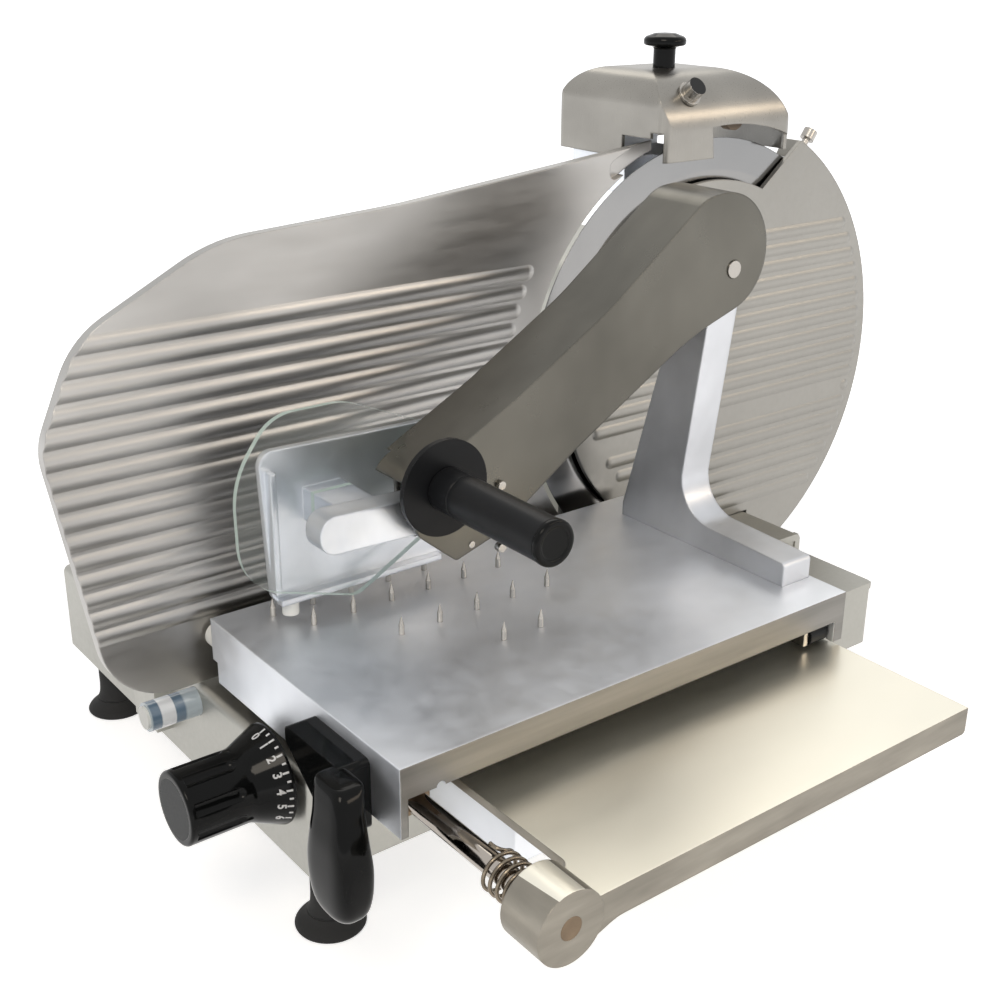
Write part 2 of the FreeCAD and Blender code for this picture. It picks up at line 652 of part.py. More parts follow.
def make_carriage():
    """Polished slide plate with its front lip, rod boss, rear lug and the slider below."""
    left, right, front, back = (val("plate_left"), val("plate_right"), val("plate_front"), val("plate_back"))
    x, z = val("rod_x"), val("rod_z")
    top, boss = val("plate_top"), val("boss_radius")
    plate = pad("XY_Plane", corners([(left, -318, 8), (x, -318), (x, front), (right, front, 4),
                                     (right, back), (left, back)]), "plate_top - plate_thick", "plate_thick")
    lip = pad("XZ_Plane", corners([(x, top), (x, z - boss), (x + 4, z - boss, 0), (x + 34, top - 19, 30),
                                   (right, top - 19, 3), (right, top)]), "plate_front + 9", 9)
    barrel = rod("y", (x, front - 3, z), "boss_radius", "boss_long")
    rear = box((x - 14, back - 16, -151), (60, 16, "plate_top + 151"))
    bores = [rod("y", (x, front - 4, z), "rod_radius + 0.02", 330)]
    add(cut(join(plate, lip, barrel, rear), *bores), "carriage_plate")
    block = join(box((-395, -264, -170), (95, 104, "plate_top - plate_thick + 169.98")),
                 box((-395, -161, "base_top + 2"), (95, 71, "plate_top - plate_thick - base_top - 2.02")),
                 box((-395, "guide_y - 15.5", "guide_z - 15"), (95, 31, "base_top + 4 - guide_z + 15")))
    add(cut(block, rod("x", (-396, "guide_y", "guide_z"), 13.02, 97)), "carriage_slider")
    bushes = []
    for start in (-395, -318):
        bushes.append(cut(rod("x", (start, "guide_y", "guide_z"), 13, 18),
                          rod("x", (start - 1, "guide_y", "guide_z"), "guide_radius + 0.05", 20)))
    add(join(*bushes), "slider_bushes")
    add(rod("x", ("lug_left", "guide_y", "guide_z"), "guide_radius", "lug_right - lug_left + lug_wide"),
        "guide_rod")
    add(rod("y", (x, front - 3, z), "rod_radius", "plate_back - plate_front + 3"), "feed_rod")
    shoe = box((-395, -62, "base_top + 0.4"), (95, 18, "plate_top - plate_thick - base_top - 0.42"))
    add(shoe, "support_shoe")


def biarc(start, away, end, ahead):
    """Two tangent arcs that join two points with given unit tangents."""
    gap = end - start
    both = away + ahead
    square = 2 * (1 - away.dot(ahead))
    reach = gap.dot(both)
    if square < 1e-9:
        length = gap.dot(gap) / (4 * gap.dot(ahead))
    else:
        length = (-reach + math.sqrt(reach ** 2 + square * gap.dot(gap))) / square
    first, last = start + away * length, end - ahead * length
    middle = (first + last) * 0.5
    return [tangent_arc(start, away, middle), tangent_arc(end, ahead * -1, middle)]


def tangent_arc(start, away, end):
    """Arc from a point along a unit tangent to another point."""
    chord = end - start
    side = chord - away * chord.dot(away)
    if side.Length < 1e-9:
        return Part.LineSegment(start, end)
    side.normalize()
    radius = chord.dot(chord) / (2 * chord.dot(side))
    centre = start + side * radius
    half = math.atan2(chord.dot(away), radius - chord.dot(side)) / 2
    middle = centre - side * radius * math.cos(half) + away * radius * math.sin(half)
    return Part.Arc(start, middle, end)


def make_spring():
    """Bumper spring on the feed rod: one tube along a helix, its ends straight and square to the boss."""
    radius, pitch, wire = val("spring_radius"), val("spring_pitch"), val("wire")
    turns = int(val("spring_turns"))
    centre = V(val("rod_x"), val("plate_front") - 3 + val("boss_long"), val("rod_z"))
    rise = pitch / (2 * math.pi)

    def point(step):
        angle = step * math.pi / 2
        return centre + V(radius * math.cos(angle), 4 * wire + 2 + rise * angle, radius * math.sin(angle))

    def heading(step):
        angle = step * math.pi / 2
        return V(-radius * math.sin(angle), rise, radius * math.cos(angle)).normalize()
    count = 4 * turns
    forward = V(0, 1, 0)
    begin = point(-1)
    begin.y = centre.y
    rest = point(count + 1)
    edges = [Part.LineSegment(begin, begin + forward * 2 * wire)]
    edges += biarc(begin + forward * 2 * wire, forward, point(0), heading(0))
    for step in range(count):
        edges += biarc(point(step), heading(step), point(step + 1), heading(step + 1))
    stop = rest + forward * 3
    edges += biarc(point(count), heading(count), stop, forward)
    edges.append(Part.LineSegment(stop, stop + forward * 2 * wire))
    shapes = [edge.toShape() for edge in edges]
    path = Part.Wire(Part.__sortEdges__(shapes))
    circle = Part.Wire(Part.Circle(begin, forward, wire).toShape())
    tube = path.makePipeShell([circle], True, False)
    spots = [edge.valueAt(edge.FirstParameter + (edge.LastParameter - edge.FirstParameter) * k / 6)
             for edge in shapes for k in range(6)]
    least = min((a - b).Length for i, a in enumerate(spots) for b in spots[i + 18:]) - 2 * wire
    print("spring: least gap to itself", round(least, 2), "volume", round(tube.Volume, 1),
          "section times length", round(math.pi * wire ** 2 * path.Length, 1))
    obj = doc.addObject("Part::Feature", "spring")
    obj.Shape = tube
    return add(obj, "bumper_spring")


# Meat table

def make_table():
    """Table: a top with a deep side skirt, a shallow front apron and a back skirt."""
    left, right, front, back = "table_left", "table_right", "table_front", "table_back"
    body = box((left, front, "table_top - side_deep"), (f"{right} - {left}", f"{back} - {front}", "side_deep"))
    inside = box(("table_left + table_wall", "table_front + table_wall", "table_top - side_deep - 1"),
                 ("table_right - table_left - 2 * table_wall", "table_back - table_front - 2 * table_wall",
                  "side_deep - table_thick + 1"))
    front_cut = box(("table_left + table_wall", "table_front - 1", "table_top - side_deep - 1"),
                    ("table_right - table_left - 2 * table_wall", "table_wall + 2",
                     "side_deep - apron_deep + 1"))
    back_cut = box(("table_left - 1", "table_back - table_wall - 1", "table_top - side_deep - 1"),
                   ("table_right - table_left + 2", "table_wall + 2", "side_deep - 30 + 1"))
    right_cut = box(("table_right - table_wall - 1", "table_front - 1", "table_top - side_deep - 1"),
                    ("table_wall + 2", "table_back - table_front + 2", "side_deep - 36 + 1"))
    hole = rod("y", (-427, "table_front - 1", "table_top - apron_deep"), 3, 9)
    holes = [rod("z", (x, y, "table_top - table_thick - 1"), 1.52, "table_thick + 2")
             for x, y in spike_spots()]
    column = box(("table_right - 9", "table_front", "table_top - 36"), (9, 6, 33))
    skirts = cut(body, inside, front_cut, back_cut, right_cut)
    return add(cut(join(skirts, column), hole, *holes), "meat_table")


def spike_spots():
    """Places of the spikes, in rows 30 mm apart along the table."""
    rows = ((-419, -36, 5), (-404, -63, 6), (-366, -108, 5), (-318, -153, 2))
    pitch = val("spike_pitch")
    return [(x + k * pitch, y) for x, y, count in rows for k in range(count)]


def make_spikes():
    """Pointed steel pins pressed into the table's top."""
    pins = []
    for x, y in spike_spots():
        stud = rod("z", (x, y, "table_top - table_thick"), 1.5, "table_thick + 1")
        body = rod("z", (x, y, "table_top + 0.02"), "spike_radius", "spike_tall / 2")
        tip = cone("z", (x, y, "table_top + 0.01 + spike_tall / 2"), "spike_radius", 0.3, "spike_tall / 2")
        pins.append(join(stud, body, tip))
    return add(join(*pins), "table_spikes")


def make_table_parts():
    """What hangs under the table: bush, roller with axle, rear button; and the carriage handle."""
    x, z = "rod_x", "rod_z"
    block = box(("rod_x - 13", -206, "rod_z - 12"), (26, 56, "table_top - table_thick - rod_z + 11.98"))
    add(cut(block, rod("y", (x, -207, z), "rod_radius + 0.05", 58)), "table_bush")
    roller_z = "plate_top + roller_radius + 0.3"
    roller = cut(rod("x", ("roller_x", -226, roller_z), "roller_radius", "roller_long"),
                 rod("x", ("roller_x - 1", -226, roller_z), 3.05, "roller_long + 2"))
    add(roller, "table_roller")
    cheek = box(("roller_x - 5.5", -232, "plate_top + 3"), (4, 12, "table_top - table_thick - plate_top - 3.02"))
    axle = rod("x", ("roller_x - 5", -226, roller_z), 3, "table_right - table_wall - roller_x + 5")
    add(join(cheek, axle), "roller_axle")
    add(rod("y", (-444, "table_back + 0.02", -116), 9, 12), "rear_button")
    mount = pad("YZ_Plane", corners([(-146, -106, 4), (-208, -106, 4), (-208, -152, 5), (-190, -152, 5),
                                     (-146, -117, 4)]), "table_left - 19", 18.98)
    add(mount, "handle_mount")
    grip = box(("table_left - 42", -242.5, -187), (26, 43, 81))
    clear = box(("table_left - 19.02", -208.02, -160), (60, 80, 60))
    add(cut(rounded(grip, 11), clear), "carriage_handle")


def rounded(solid, radius):
    """Solid with every edge rounded."""
    obj = doc.addObject("Part::Fillet", "rounded")
    obj.Base = solid
    doc.recompute()
    obj.Edges = [(k + 1, radius, radius) for k in range(len(solid.Shape.Edges))]
    return obj


# Press arm, its post and the pusher

def make_post():
    """Cast L-shaped post that stands on the table and carries the arm's pivot."""
    low = val("table_top") + 0.02
    side = corners([(-43, low), (-207, low), (-207, low + 17, 3), (-101, low + 21, 30), (-121.5, 78, 40),
                    (-121.5, 123, 14), (-84.5, 123, 14), (-84.5, 60, 60), (-43, low + 10, 8)])
    post = pad("YZ_Plane", side, "post_left", "post_right - post_left")
    bore = rod("y", ("pivot_x", -140, "pivot_z"), "pivot_radius + 0.02", 70)
    add(cut(post, bore), "arm_post")
    pin = rod("y", ("pivot_x", "arm_front - 1", "pivot_z"), "pivot_radius", "arm_back - arm_front + 2")
    add(pin, "arm_pivot_pin")


def make_arm():
    """Press arm: a long channel, open below, that narrows toward the handle."""
    shell = pad("XZ_Plane", corners([(-72, 166, 42), (-132, 160, 30), (-215, 97, 250), (-290, 52, 100),
                                     (-340, 26, 60), (-370, 10, 18), (-366, -22, 16), (-337, -46, 4),
                                     (-305, -36, 20), (-240, 8, 150), (-140, 67, 200), (-72, 90, 40)]),
                "arm_back", "arm_back - arm_front")
    room = pad("XZ_Plane", corners([(-76, 162, 38), (-131, 156, 26), (-213, 93, 250), (-288, 48, 100),
                                    (-339, 21.5, 56), (-362, 8), (-380, 8), (-380, -70), (-300, -70),
                                    (-60, 40), (-60, 112), (-76, 112)]),
               "arm_back - arm_wall", "arm_back - arm_front - 2 * arm_wall")
    bores = [rod("y", ("pivot_x", -130, "pivot_z"), "pivot_radius + 0.05", 60),
             rod("y", ("grip_x", -130, "grip_z"), "stud_radius + 0.02", 60),
             rod("y", ("lug_x", -130, "lug_z"), 4.02, 60)]
    notch = box((-385, "arm_back - arm_wall - 1", -70), (35, "arm_wall + 2", 88))
    add(cut(shell, room, notch, *bores), "press_arm")
    add(rod("y", ("lug_x", "arm_front + 0.3", "lug_z"), 4, "arm_back - arm_front - 0.6"), "pusher_pin")


def make_grip():
    """Round grip, its guard disc and the stud it turns on."""
    x, z = "grip_x", "grip_z"
    start = "arm_front - disc_thick - 1"
    disc = cut(rod("y", (x, start, z), "disc_radius", "disc_thick"),
               rod("y", (x, f"{start} - 1", z), "stud_radius + 0.02", "disc_thick + 2"))
    add(disc, "guard_disc")
    end = "arm_front - disc_thick - 1.4 - grip_long"
    barrel = cut(rod("y", (x, end, z), "grip_radius", "grip_long"),
                 rod("y", (x, f"{end} + 3", z), "stud_radius + 0.05", "grip_long"))
    add(barrel, "press_grip")
    add(rod("y", (x, f"{end} + 4", z), "stud_radius", "grip_long + disc_thick + 1.4 - 4 + arm_wall"),
        "grip_stud")


def make_pusher():
    """Cast pusher tray with rim, lip and hinge lug; its nylon foot; and the clear guard before it."""
    left, right, low, high = (val("tray_left"), val("tray_right"), val("tray_low"), val("tray_high"))
    y, thick = val("tray_y"), val("tray_thick")
    plate = pad("XZ_Plane", corners([(left + 5, low, 8), (left, high, 10), (right, high - 4, 6), (right, low, 4)]),
                "tray_y", "tray_thick")
    rim = box((left + 4, y - 12, low + 9), (4, 8, high - low - 22))
    lip = box((left + 8, y - 11.5, low), (right - left - 12, 8, 4))
    boss = box((-402, -112, -27), (28, "113 + tray_y - tray_thick", 22))
    link = pad("XZ_Plane", corners([(-424, -27, 11), (-424, -2, 11), (-326, -6, 11.9),
                                    (-326, -30, 11.9)]), -94, 18)
    hole = rod("y", ("lug_x", -130, "lug_z"), 4.06, 60)
    add(cut(join(plate, rim, lip, boss, link), hole), "pusher_tray")
    add(rod("z", (-415, y - 5, -89), 5.5, low - 0.02 + 89), "pusher_foot")
    edges = corners([(-315, 24), (-378, 51, 45), (-429, 51, 30), (-456, 14, 60), (-455, -58, 40),
                     (-372.4, -83.7, 14), (-322, -56)])
    pane = pad("XZ_Plane", edges, -63, "guard_thick")
    hole = box((-402.02, -80, -27.02), (28.04, 40, 22.04))
    add(cut(pane, hole), "clear_guard")


for maker in (make_base, make_bottom_plate, make_feet, make_foot_screws, make_blade_support, make_bearings,
              make_ring_guard, make_cover, make_thumbscrew, make_rear_housing, make_drive, make_spindle,
              make_blade, make_blade_screws, make_hood, make_button, make_sharpener, make_gauge_plate,
              make_gauge_slide, make_gauge_bars, make_dial, make_switch, make_gland, make_carriage,
              make_spring, make_table, make_spikes, make_table_parts, make_post, make_arm, make_grip,
              make_pusher):
    maker()

doc.recompute()
faults = [obj.Name for obj in doc.Objects if {"Invalid", "Error"} & set(obj.State)]
faults += [part.Label for part in parts if part.Shape.isNull() or not part.Shape.isValid()]
if faults:
    raise RuntimeError("failed: " + ", ".join(faults))
os.makedirs("parts", exist_ok=True)
for part in parts:
    part.Shape.exportStep(f"parts/{part.Label}.step")
print(len(parts), "sub-parts written")
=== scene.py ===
import json
import math

import bpy
import numpy as np
from bpy.props import FloatProperty, IntProperty, PointerProperty, StringProperty
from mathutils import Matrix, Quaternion, Vector


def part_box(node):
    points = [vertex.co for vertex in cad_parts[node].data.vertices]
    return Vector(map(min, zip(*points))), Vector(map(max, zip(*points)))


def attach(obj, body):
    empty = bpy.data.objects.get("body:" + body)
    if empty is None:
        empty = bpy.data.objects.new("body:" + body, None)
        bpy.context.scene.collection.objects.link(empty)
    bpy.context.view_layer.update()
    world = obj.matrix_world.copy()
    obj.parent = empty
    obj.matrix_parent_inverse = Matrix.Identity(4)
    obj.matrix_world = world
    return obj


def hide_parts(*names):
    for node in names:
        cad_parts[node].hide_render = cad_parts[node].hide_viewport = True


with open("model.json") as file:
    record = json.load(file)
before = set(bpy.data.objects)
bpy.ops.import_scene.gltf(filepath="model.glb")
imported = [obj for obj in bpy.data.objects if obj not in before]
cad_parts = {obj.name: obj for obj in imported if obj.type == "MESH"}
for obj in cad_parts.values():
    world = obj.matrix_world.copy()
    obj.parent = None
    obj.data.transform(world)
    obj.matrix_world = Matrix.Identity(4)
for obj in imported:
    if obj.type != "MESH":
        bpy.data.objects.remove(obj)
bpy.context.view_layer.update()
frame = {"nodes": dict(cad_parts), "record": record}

bl_info = {
    "name": "Slicing machine dressing",
    "version": (1, 0, 0),
    "blender": (4, 5, 0),
    "location": "View3D > Sidebar > Slicer",
    "description": "Finishes, turned and moulded pieces, lights and camera for a hand fed slicing machine",
    "category": "Object",
}

MM = 0.001
# The drawing's zero is the blade's centre on the cut plane; the frame's is on the worktop.
SHIFT = np.array([170.2, 46.5, 280.0])
# Radius in millimetres at which a profile stops beside its axis; the fan of its pole closes the rest.
CORE = 0.01


def at(x, y, z):
    """Millimetres from the blade's centre to metres in the frame."""
    return (np.array([x, y, z], float) + SHIFT) * MM


# Sizes and colours

def length(name, text, default):
    """A length property in metres."""
    return FloatProperty(name=name, description=text, default=default, min=0.0, unit="LENGTH", precision=4)


def rotation(name, text, default):
    """An angle property whose default is given in degrees."""
    return FloatProperty(name=name, description=text, default=math.radians(default), unit="ROTATION")


def colour(name, text, default):
    """A colour property kept as an sRGB hex value."""
    return StringProperty(name=name, description=text + ", sRGB hex", default=default, maxlen=7)


class SlicerSizes(bpy.types.PropertyGroup):
    """Sizes that a user would change."""
    grip_radius: length("Press grip radius", "Outer radius of the press arm's grip", 0.0142)
    grip_end_round: length("Grip end rounding", "Rounding of the grip's free end", 0.0022)
    grip_cap: length("Grip cap length", "Length of the glossy cap on the grip's free end", 0.004)
    handle_wide: length("Handle width", "Width of the carriage handle across the fingers", 0.0426)
    handle_thick: length("Handle thickness", "Thickness of the carriage handle at its fullest", 0.0256)
    foot_lip: length("Foot lip radius", "Radius of the suction lip under each foot", 0.0238)
    foot_stem: length("Foot stem radius", "Radius of the rubber stem above the lip", 0.0125)
    digit_tall: length("Digit height", "Height of the numbers on the dial", 0.0056)
    tick_wide: length("Tick width", "Width of a mark on the dial", 0.0013)
    first_mark: rotation("First mark", "Angle of the dial's zero round its axis", 90)
    mark_step: rotation("Number step", "Angle between two numbers of the dial", 20)
    floor_radius: length("Floor radius", "Radius of the pale floor disc", 40.0)
    edge_round: length("Edge rounding", "Radius that the shading gives to machined edges", 0.0009)
    around: IntProperty(name="Steps around", description="Steps round a turned piece", default=64, min=12)


class SlicerColours(bpy.types.PropertyGroup):
    """Colours of the finishes and of the room."""
    gauge: colour("Gauge plate", "Cast and ground thickness plate", "#B2B0AD")
    arm: colour("Press arm", "Buffed casting of the press arm", "#615F59")
    post: colour("Post", "Buffed casting of the post", "#C6C8CC")
    table: colour("Table", "Buffed casting of the table", "#E6E9EE")
    tray: colour("Tray", "Buffed casting of the pusher tray", "#D2D6DC")
    cover: colour("Cover", "Anodised cover and guard ring", "#979590")
    plate: colour("Slide plate", "Polished slide plate", "#EFEBDD")
    # The milled edge's dark tone is partly painted shade on the slide plate's sides and rod boss.
    edge: colour("Milled edge", "Milled edge of the slide plate and its rod boss", "#8F8A80")
    # The apron's dark tone is partly painted shade on the front and back faces of the table's skirt.
    apron: colour("Apron", "Ground front and back of the table's skirt", "#85837F")
    brushed: colour("Hood", "Brushed hood", "#93908A")
    base: colour("Base", "Anodised base", "#AEADA7")
    blade: colour("Blade", "Ground blade", "#8C8C8C")
    steel: colour("Steel", "Turned steel", "#B0ACA6")
    spring: colour("Spring", "Spring wire", "#7E7466")
    chrome: colour("Chrome", "Hard chrome rod", "#A9A29A")
    gloss: colour("Gloss black", "Phenolic knobs and handle", "#0B0C0C")
    satin: colour("Satin black", "Nylon grip and disc", "#1B1C1E")
    cap: colour("Grey cap", "Moulded cap of the dial", "#1E2021")
    rubber: colour("Rubber", "Black rubber feet and belt", "#161717")
    nylon: colour("White nylon", "Turned white nylon", "#E2E3E0")
    bronze: colour("Bronze", "Oiled sintered bronze", "#7A6A58")
    acrylic: colour("Clear guard", "Faces of the acrylic sheet", "#E4EFEA")
    sawn: colour("Guard's edge", "Sawn edge of the acrylic sheet", "#D3E6DD")
    stone: colour("Stone", "Vitrified abrasive", "#8B7D6E")
    marking: colour("Marking", "Paint of the dial's numbers", "#F2F2F2")
    band: colour("Switch band", "Blue-grey bands of the switch", "#6C8296")
    pale_band: colour("Switch ends", "Pale ends of the switch", "#B9C6CE")
    white_band: colour("Switch white", "White band of the switch", "#F1F4F7")
    floor: colour("Floor", "Floor under the machine", "#F4F4F4")
    room: colour("Room", "Light from all round", "#C9CCD2")


# Surfaces worked out as whole arrays

def smooth_mesh(name, points, faces, slot, body, material, flat=False):
    """An object from an array of points in metres and a list of faces, riding on a body."""
    mesh = bpy.data.meshes.new(name)
    mesh.from_pydata(points.tolist(), [], faces)
    mesh.update()
    mesh.polygons.foreach_set("use_smooth", np.full(len(mesh.polygons), not flat))
    mesh.materials.append(material)
    obj = bpy.data.objects.new(name, mesh)
    bpy.context.scene.collection.objects.link(obj)
    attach(obj, body)
    return obj


def ring_faces(rows, count):
    """Faces over a grid of closed rings: each point, the next one of its ring, and the same two of the
    next ring make a quad, and a fan of triangles joins each end ring to its pole, the last two points."""
    ring = np.arange(count)
    after = (ring + 1) % count
    faces = []
    for row in range(rows - 1):
        low, high = row * count, (row + 1) * count
        faces += np.stack([low + ring, low + after, high + after, high + ring], 1).tolist()
    first, last = rows * count, rows * count + 1
    high = (rows - 1) * count
    faces += np.stack([after, ring, np.full(count, first)], 1).tolist()
    faces += np.stack([high + ring, high + after, np.full(count, last)], 1).tolist()
    return faces


def skin(rings):
    """Points and faces of closed rings (rows, count, 3), with a pole at the mean of each end ring."""
    rows, count, _ = rings.shape
    poles = np.stack([rings[0].mean(0), rings[-1].mean(0)])
    return np.concatenate([rings.reshape(-1, 3), poles]), ring_faces(rows, count)


def across(axis):
    """The axis at unit length, a side square to it and to Z (or to X where the axis is upright), and the
    cross product of the two, so that the three are right handed."""
    axis = np.asarray(axis, float) / np.linalg.norm(axis)
    side = np.cross(axis, [0.0, 0.0, 1.0] if abs(axis[2]) < 0.9 else [1.0, 0.0, 0.0])
    side /= np.linalg.norm(side)
    return axis, side, np.cross(axis, side)


def turned(profile, origin, axis, count):
    """Rings of a turned piece: each (along, radius) pair in millimetres gives the circle origin + along
    times the axis + radius times (cosine of the angle times the side + sine times the cross product)."""
    profile = np.asarray(profile, float) * MM
    axis, side, up = across(axis)
    angle = np.linspace(0, 2 * math.pi, count, endpoint=False)
    circle = np.cos(angle)[:, None] * side + np.sin(angle)[:, None] * up
    return origin + profile[:, :1, None] * axis + profile[:, 1:, None] * circle


def rounded_profile(points, steps=6):
    """Profile (along, radius, rounding) whose corners become quadratic curves: (1 - t) squared times the
    first end + 2t(1 - t) times the corner + t squared times the last end, with both ends a rounding away."""
    out = []
    for i, point in enumerate(points):
        here = np.array(point[:2], float)
        size = point[2] if len(point) > 2 else 0
        if not size or i in (0, len(points) - 1):
            out.append(here)
            continue
        back = np.array(points[i - 1][:2], float) - here
        ahead = np.array(points[i + 1][:2], float) - here
        first = here + back / np.linalg.norm(back) * size
        last = here + ahead / np.linalg.norm(ahead) * size
        for t in np.linspace(0, 1, steps):
            out.append((1 - t) ** 2 * first + 2 * t * (1 - t) * here + t ** 2 * last)
    return np.array(out)


def smooth_stations(stations, rows):
    """A smooth curve through rows of numbers: between two stations each number is the cubic of the way t
    that meets both and leaves each with half the step between its two neighbours as its slope."""
    count = len(stations)
    fine = np.linspace(0, count - 1, rows)
    whole = np.clip(fine.astype(int), 0, count - 2)
    t = (fine - whole)[:, None]
    before, after = stations[np.maximum(whole - 1, 0)], stations[np.minimum(whole + 2, count - 1)]
    here, there = stations[whole], stations[whole + 1]
    return 0.5 * (2 * here + (there - before) * t
                  + (2 * before - 5 * here + 4 * there - after) * t ** 2
                  + (3 * here - before - 3 * there + after) * t ** 3)


def superellipse_rings(stations, count):
    """Rings from rows of height, middle x, middle y, half size in x, half size in y and squareness n: x is
    the middle + the half size times the cosine, kept in sign and raised to the power 2/n; y has the sine."""
    z, x, y, half_x, half_y, squareness = (stations[:, i:i + 1] for i in range(6))
    angle = np.linspace(0, 2 * math.pi, count, endpoint=False)[None, :]
    power = 2 / squareness
    x = x + half_x * np.sign(np.cos(angle)) * np.abs(np.cos(angle)) ** power
    y = y + half_y * np.sign(np.sin(angle)) * np.abs(np.sin(angle)) ** power
    return np.stack([x, y, z + 0 * angle], 2)


def several(items):
    """One set of points and faces from several, whose face numbers are moved past the points before."""
    points, faces, start = [], [], 0
    for spots, quads in items:
        points.append(spots)
        faces += [[index + start for index in face] for face in quads]
        start += len(spots)
    return np.concatenate(points), faces


# Finishes

def linear(code):
    """sRGB hex to linear colour with alpha."""
    value = np.array([int(code[i:i + 2], 16) for i in (1, 3, 5)]) / 255
    value = np.where(value <= 0.04045, value / 12.92, ((value + 0.055) / 1.055) ** 2.4)
    return (*value.tolist(), 1.0)


def add(tree, kind, sockets=None, **settings):
    """Adds a node: settings are its attributes, and sockets maps an input to a value or another output."""
    item = tree.nodes.new("ShaderNode" + kind)
    for key, value in settings.items():
        setattr(item, key, value)
    for key, value in (sockets or {}).items():
        if isinstance(value, bpy.types.NodeSocket):
            tree.links.new(value, item.inputs[key])
        else:
            item.inputs[key].default_value = value
    return item


def blank(name):
    """An empty material tree with its output and one Principled shader."""
    material = bpy.data.materials.new(name)
    material.use_nodes = True
    tree = material.node_tree
    tree.nodes.clear()
    out = add(tree, "OutputMaterial")
    shader = add(tree, "BsdfPrincipled")
    tree.links.new(shader.outputs[0], out.inputs[0])
    return material, tree, shader


def scaled_place(tree, sizes):
    """Object coordinates divided by a pattern size in millimetres along each axis."""
    place = add(tree, "TexCoord").outputs["Object"]
    scale = tuple(1000.0 / size for size in sizes)
    return add(tree, "Mapping", {"Vector": place, "Scale": scale}).outputs[0]


def surfaced(tree, shader, tone, level, grains, depth, edge):
    """Links tone and roughness to the shader, and the grain as a bump of a depth in millimetres over
    normals that are averaged within the edge's radius in millimetres, or within the scene's edge rounding
    where there is none, so that a sharp edge catches light as a worn one."""
    radius = edge * MM if edge else bpy.context.scene.slicer_sizes.edge_round
    edges = add(tree, "Bevel", {"Radius": radius}, samples=4)
    bump = add(tree, "Bump", {"Distance": depth * MM, "Height": grains.outputs[0],
                              "Normal": edges.outputs[0]})
    for socket, source in (("Base Color", tone), ("Roughness", level), ("Normal", bump)):
        tree.links.new(source.outputs[0], shader.inputs[socket])


def metal(name, code, rough, cloud, spread, grain, depth, edge=None):
    """Bare metal: a tone that spreads both ways in clouds, a roughness that follows the grain, and the
    grain's depth. Cloud and grain are sizes along X, Y and Z, all in millimetres."""
    material, tree, shader = blank(name)
    base = np.array(linear(code))[:3]
    clouds = add(tree, "TexNoise", {"Vector": scaled_place(tree, cloud), "Scale": 1.0, "Detail": 3.0})
    tone = add(tree, "ValToRGB", {"Fac": clouds.outputs[0]})
    dark, light = tone.color_ramp.elements
    dark.position, light.position = 0.32, 0.68
    dark.color = (*(base * (1 - spread)), 1)
    light.color = (*np.minimum(base * (1 + spread), 1.0), 1)
    grains = add(tree, "TexNoise", {"Vector": scaled_place(tree, grain), "Scale": 1.0, "Detail": 4.0,
                                    "Roughness": 0.65})
    level = add(tree, "MapRange", {"Value": grains.outputs[0], "From Min": 0.25, "From Max": 0.75,
                                   "To Min": rough * 0.85, "To Max": rough * 1.15})
    surfaced(tree, shader, tone, level, grains, depth, edge)
    shader.inputs["Metallic"].default_value = 1.0
    return material


def plastic(name, code, rough, grain, depth, coat=0.0, shine=0.5):
    """A moulded piece: an even colour with a faint drift over 18 mm, mould grain of a size and depth in
    millimetres, and an optional gloss coat."""
    material, tree, shader = blank(name)
    base = np.array(linear(code))[:3]
    drift = add(tree, "TexNoise", {"Vector": scaled_place(tree, (18, 18, 18)), "Scale": 1.0, "Detail": 2.0})
    tone = add(tree, "ValToRGB", {"Fac": drift.outputs[0]})
    dark, light = tone.color_ramp.elements
    dark.color = (*(base * 0.85), 1)
    light.color = (*np.minimum(base * 1.18 + 0.002, 1), 1)
    grains = add(tree, "TexNoise", {"Vector": scaled_place(tree, (grain,) * 3), "Scale": 1.0,
                                    "Detail": 3.0})
    level = add(tree, "MapRange", {"Value": grains.outputs[0], "To Min": rough * 0.8,
                                   "To Max": rough * 1.2})
    surfaced(tree, shader, tone, level, grains, depth, None)
    shader.inputs["Specular IOR Level"].default_value = shine
    shader.inputs["Coat Weight"].default_value = coat
    shader.inputs["Coat Roughness"].default_value = 0.04
    return material


def clear_acrylic(name, code, alpha):
    """Acrylic sheet: its gloss drifts slightly over 40 mm, and alpha says how much of the sheet is seen."""
    material, tree, shader = blank(name)
    smear = add(tree, "TexNoise", {"Vector": scaled_place(tree, (40, 40, 40)), "Scale": 1.0,
                                   "Detail": 3.0})
    level = add(tree, "MapRange", {"Value": smear.outputs[0], "To Min": 0.02, "To Max": 0.10})
    tree.links.new(level.outputs[0], shader.inputs["Roughness"])
    shader.inputs["Base Color"].default_value = linear(code)
    shader.inputs["IOR"].default_value = 1.49
    shader.inputs["Alpha"].default_value = alpha
    return material


# How far the switch stands out of the base, in metres, and the shares of that way where its bands end.
SWITCH_LONG = 0.036
SWITCH_BANDS = ((0.03, "band"), (0.19, "band"), (0.21, "white_band"), (0.47, "white_band"),
                (0.49, "band"), (0.66, "band"), (0.70, "pale_band"))


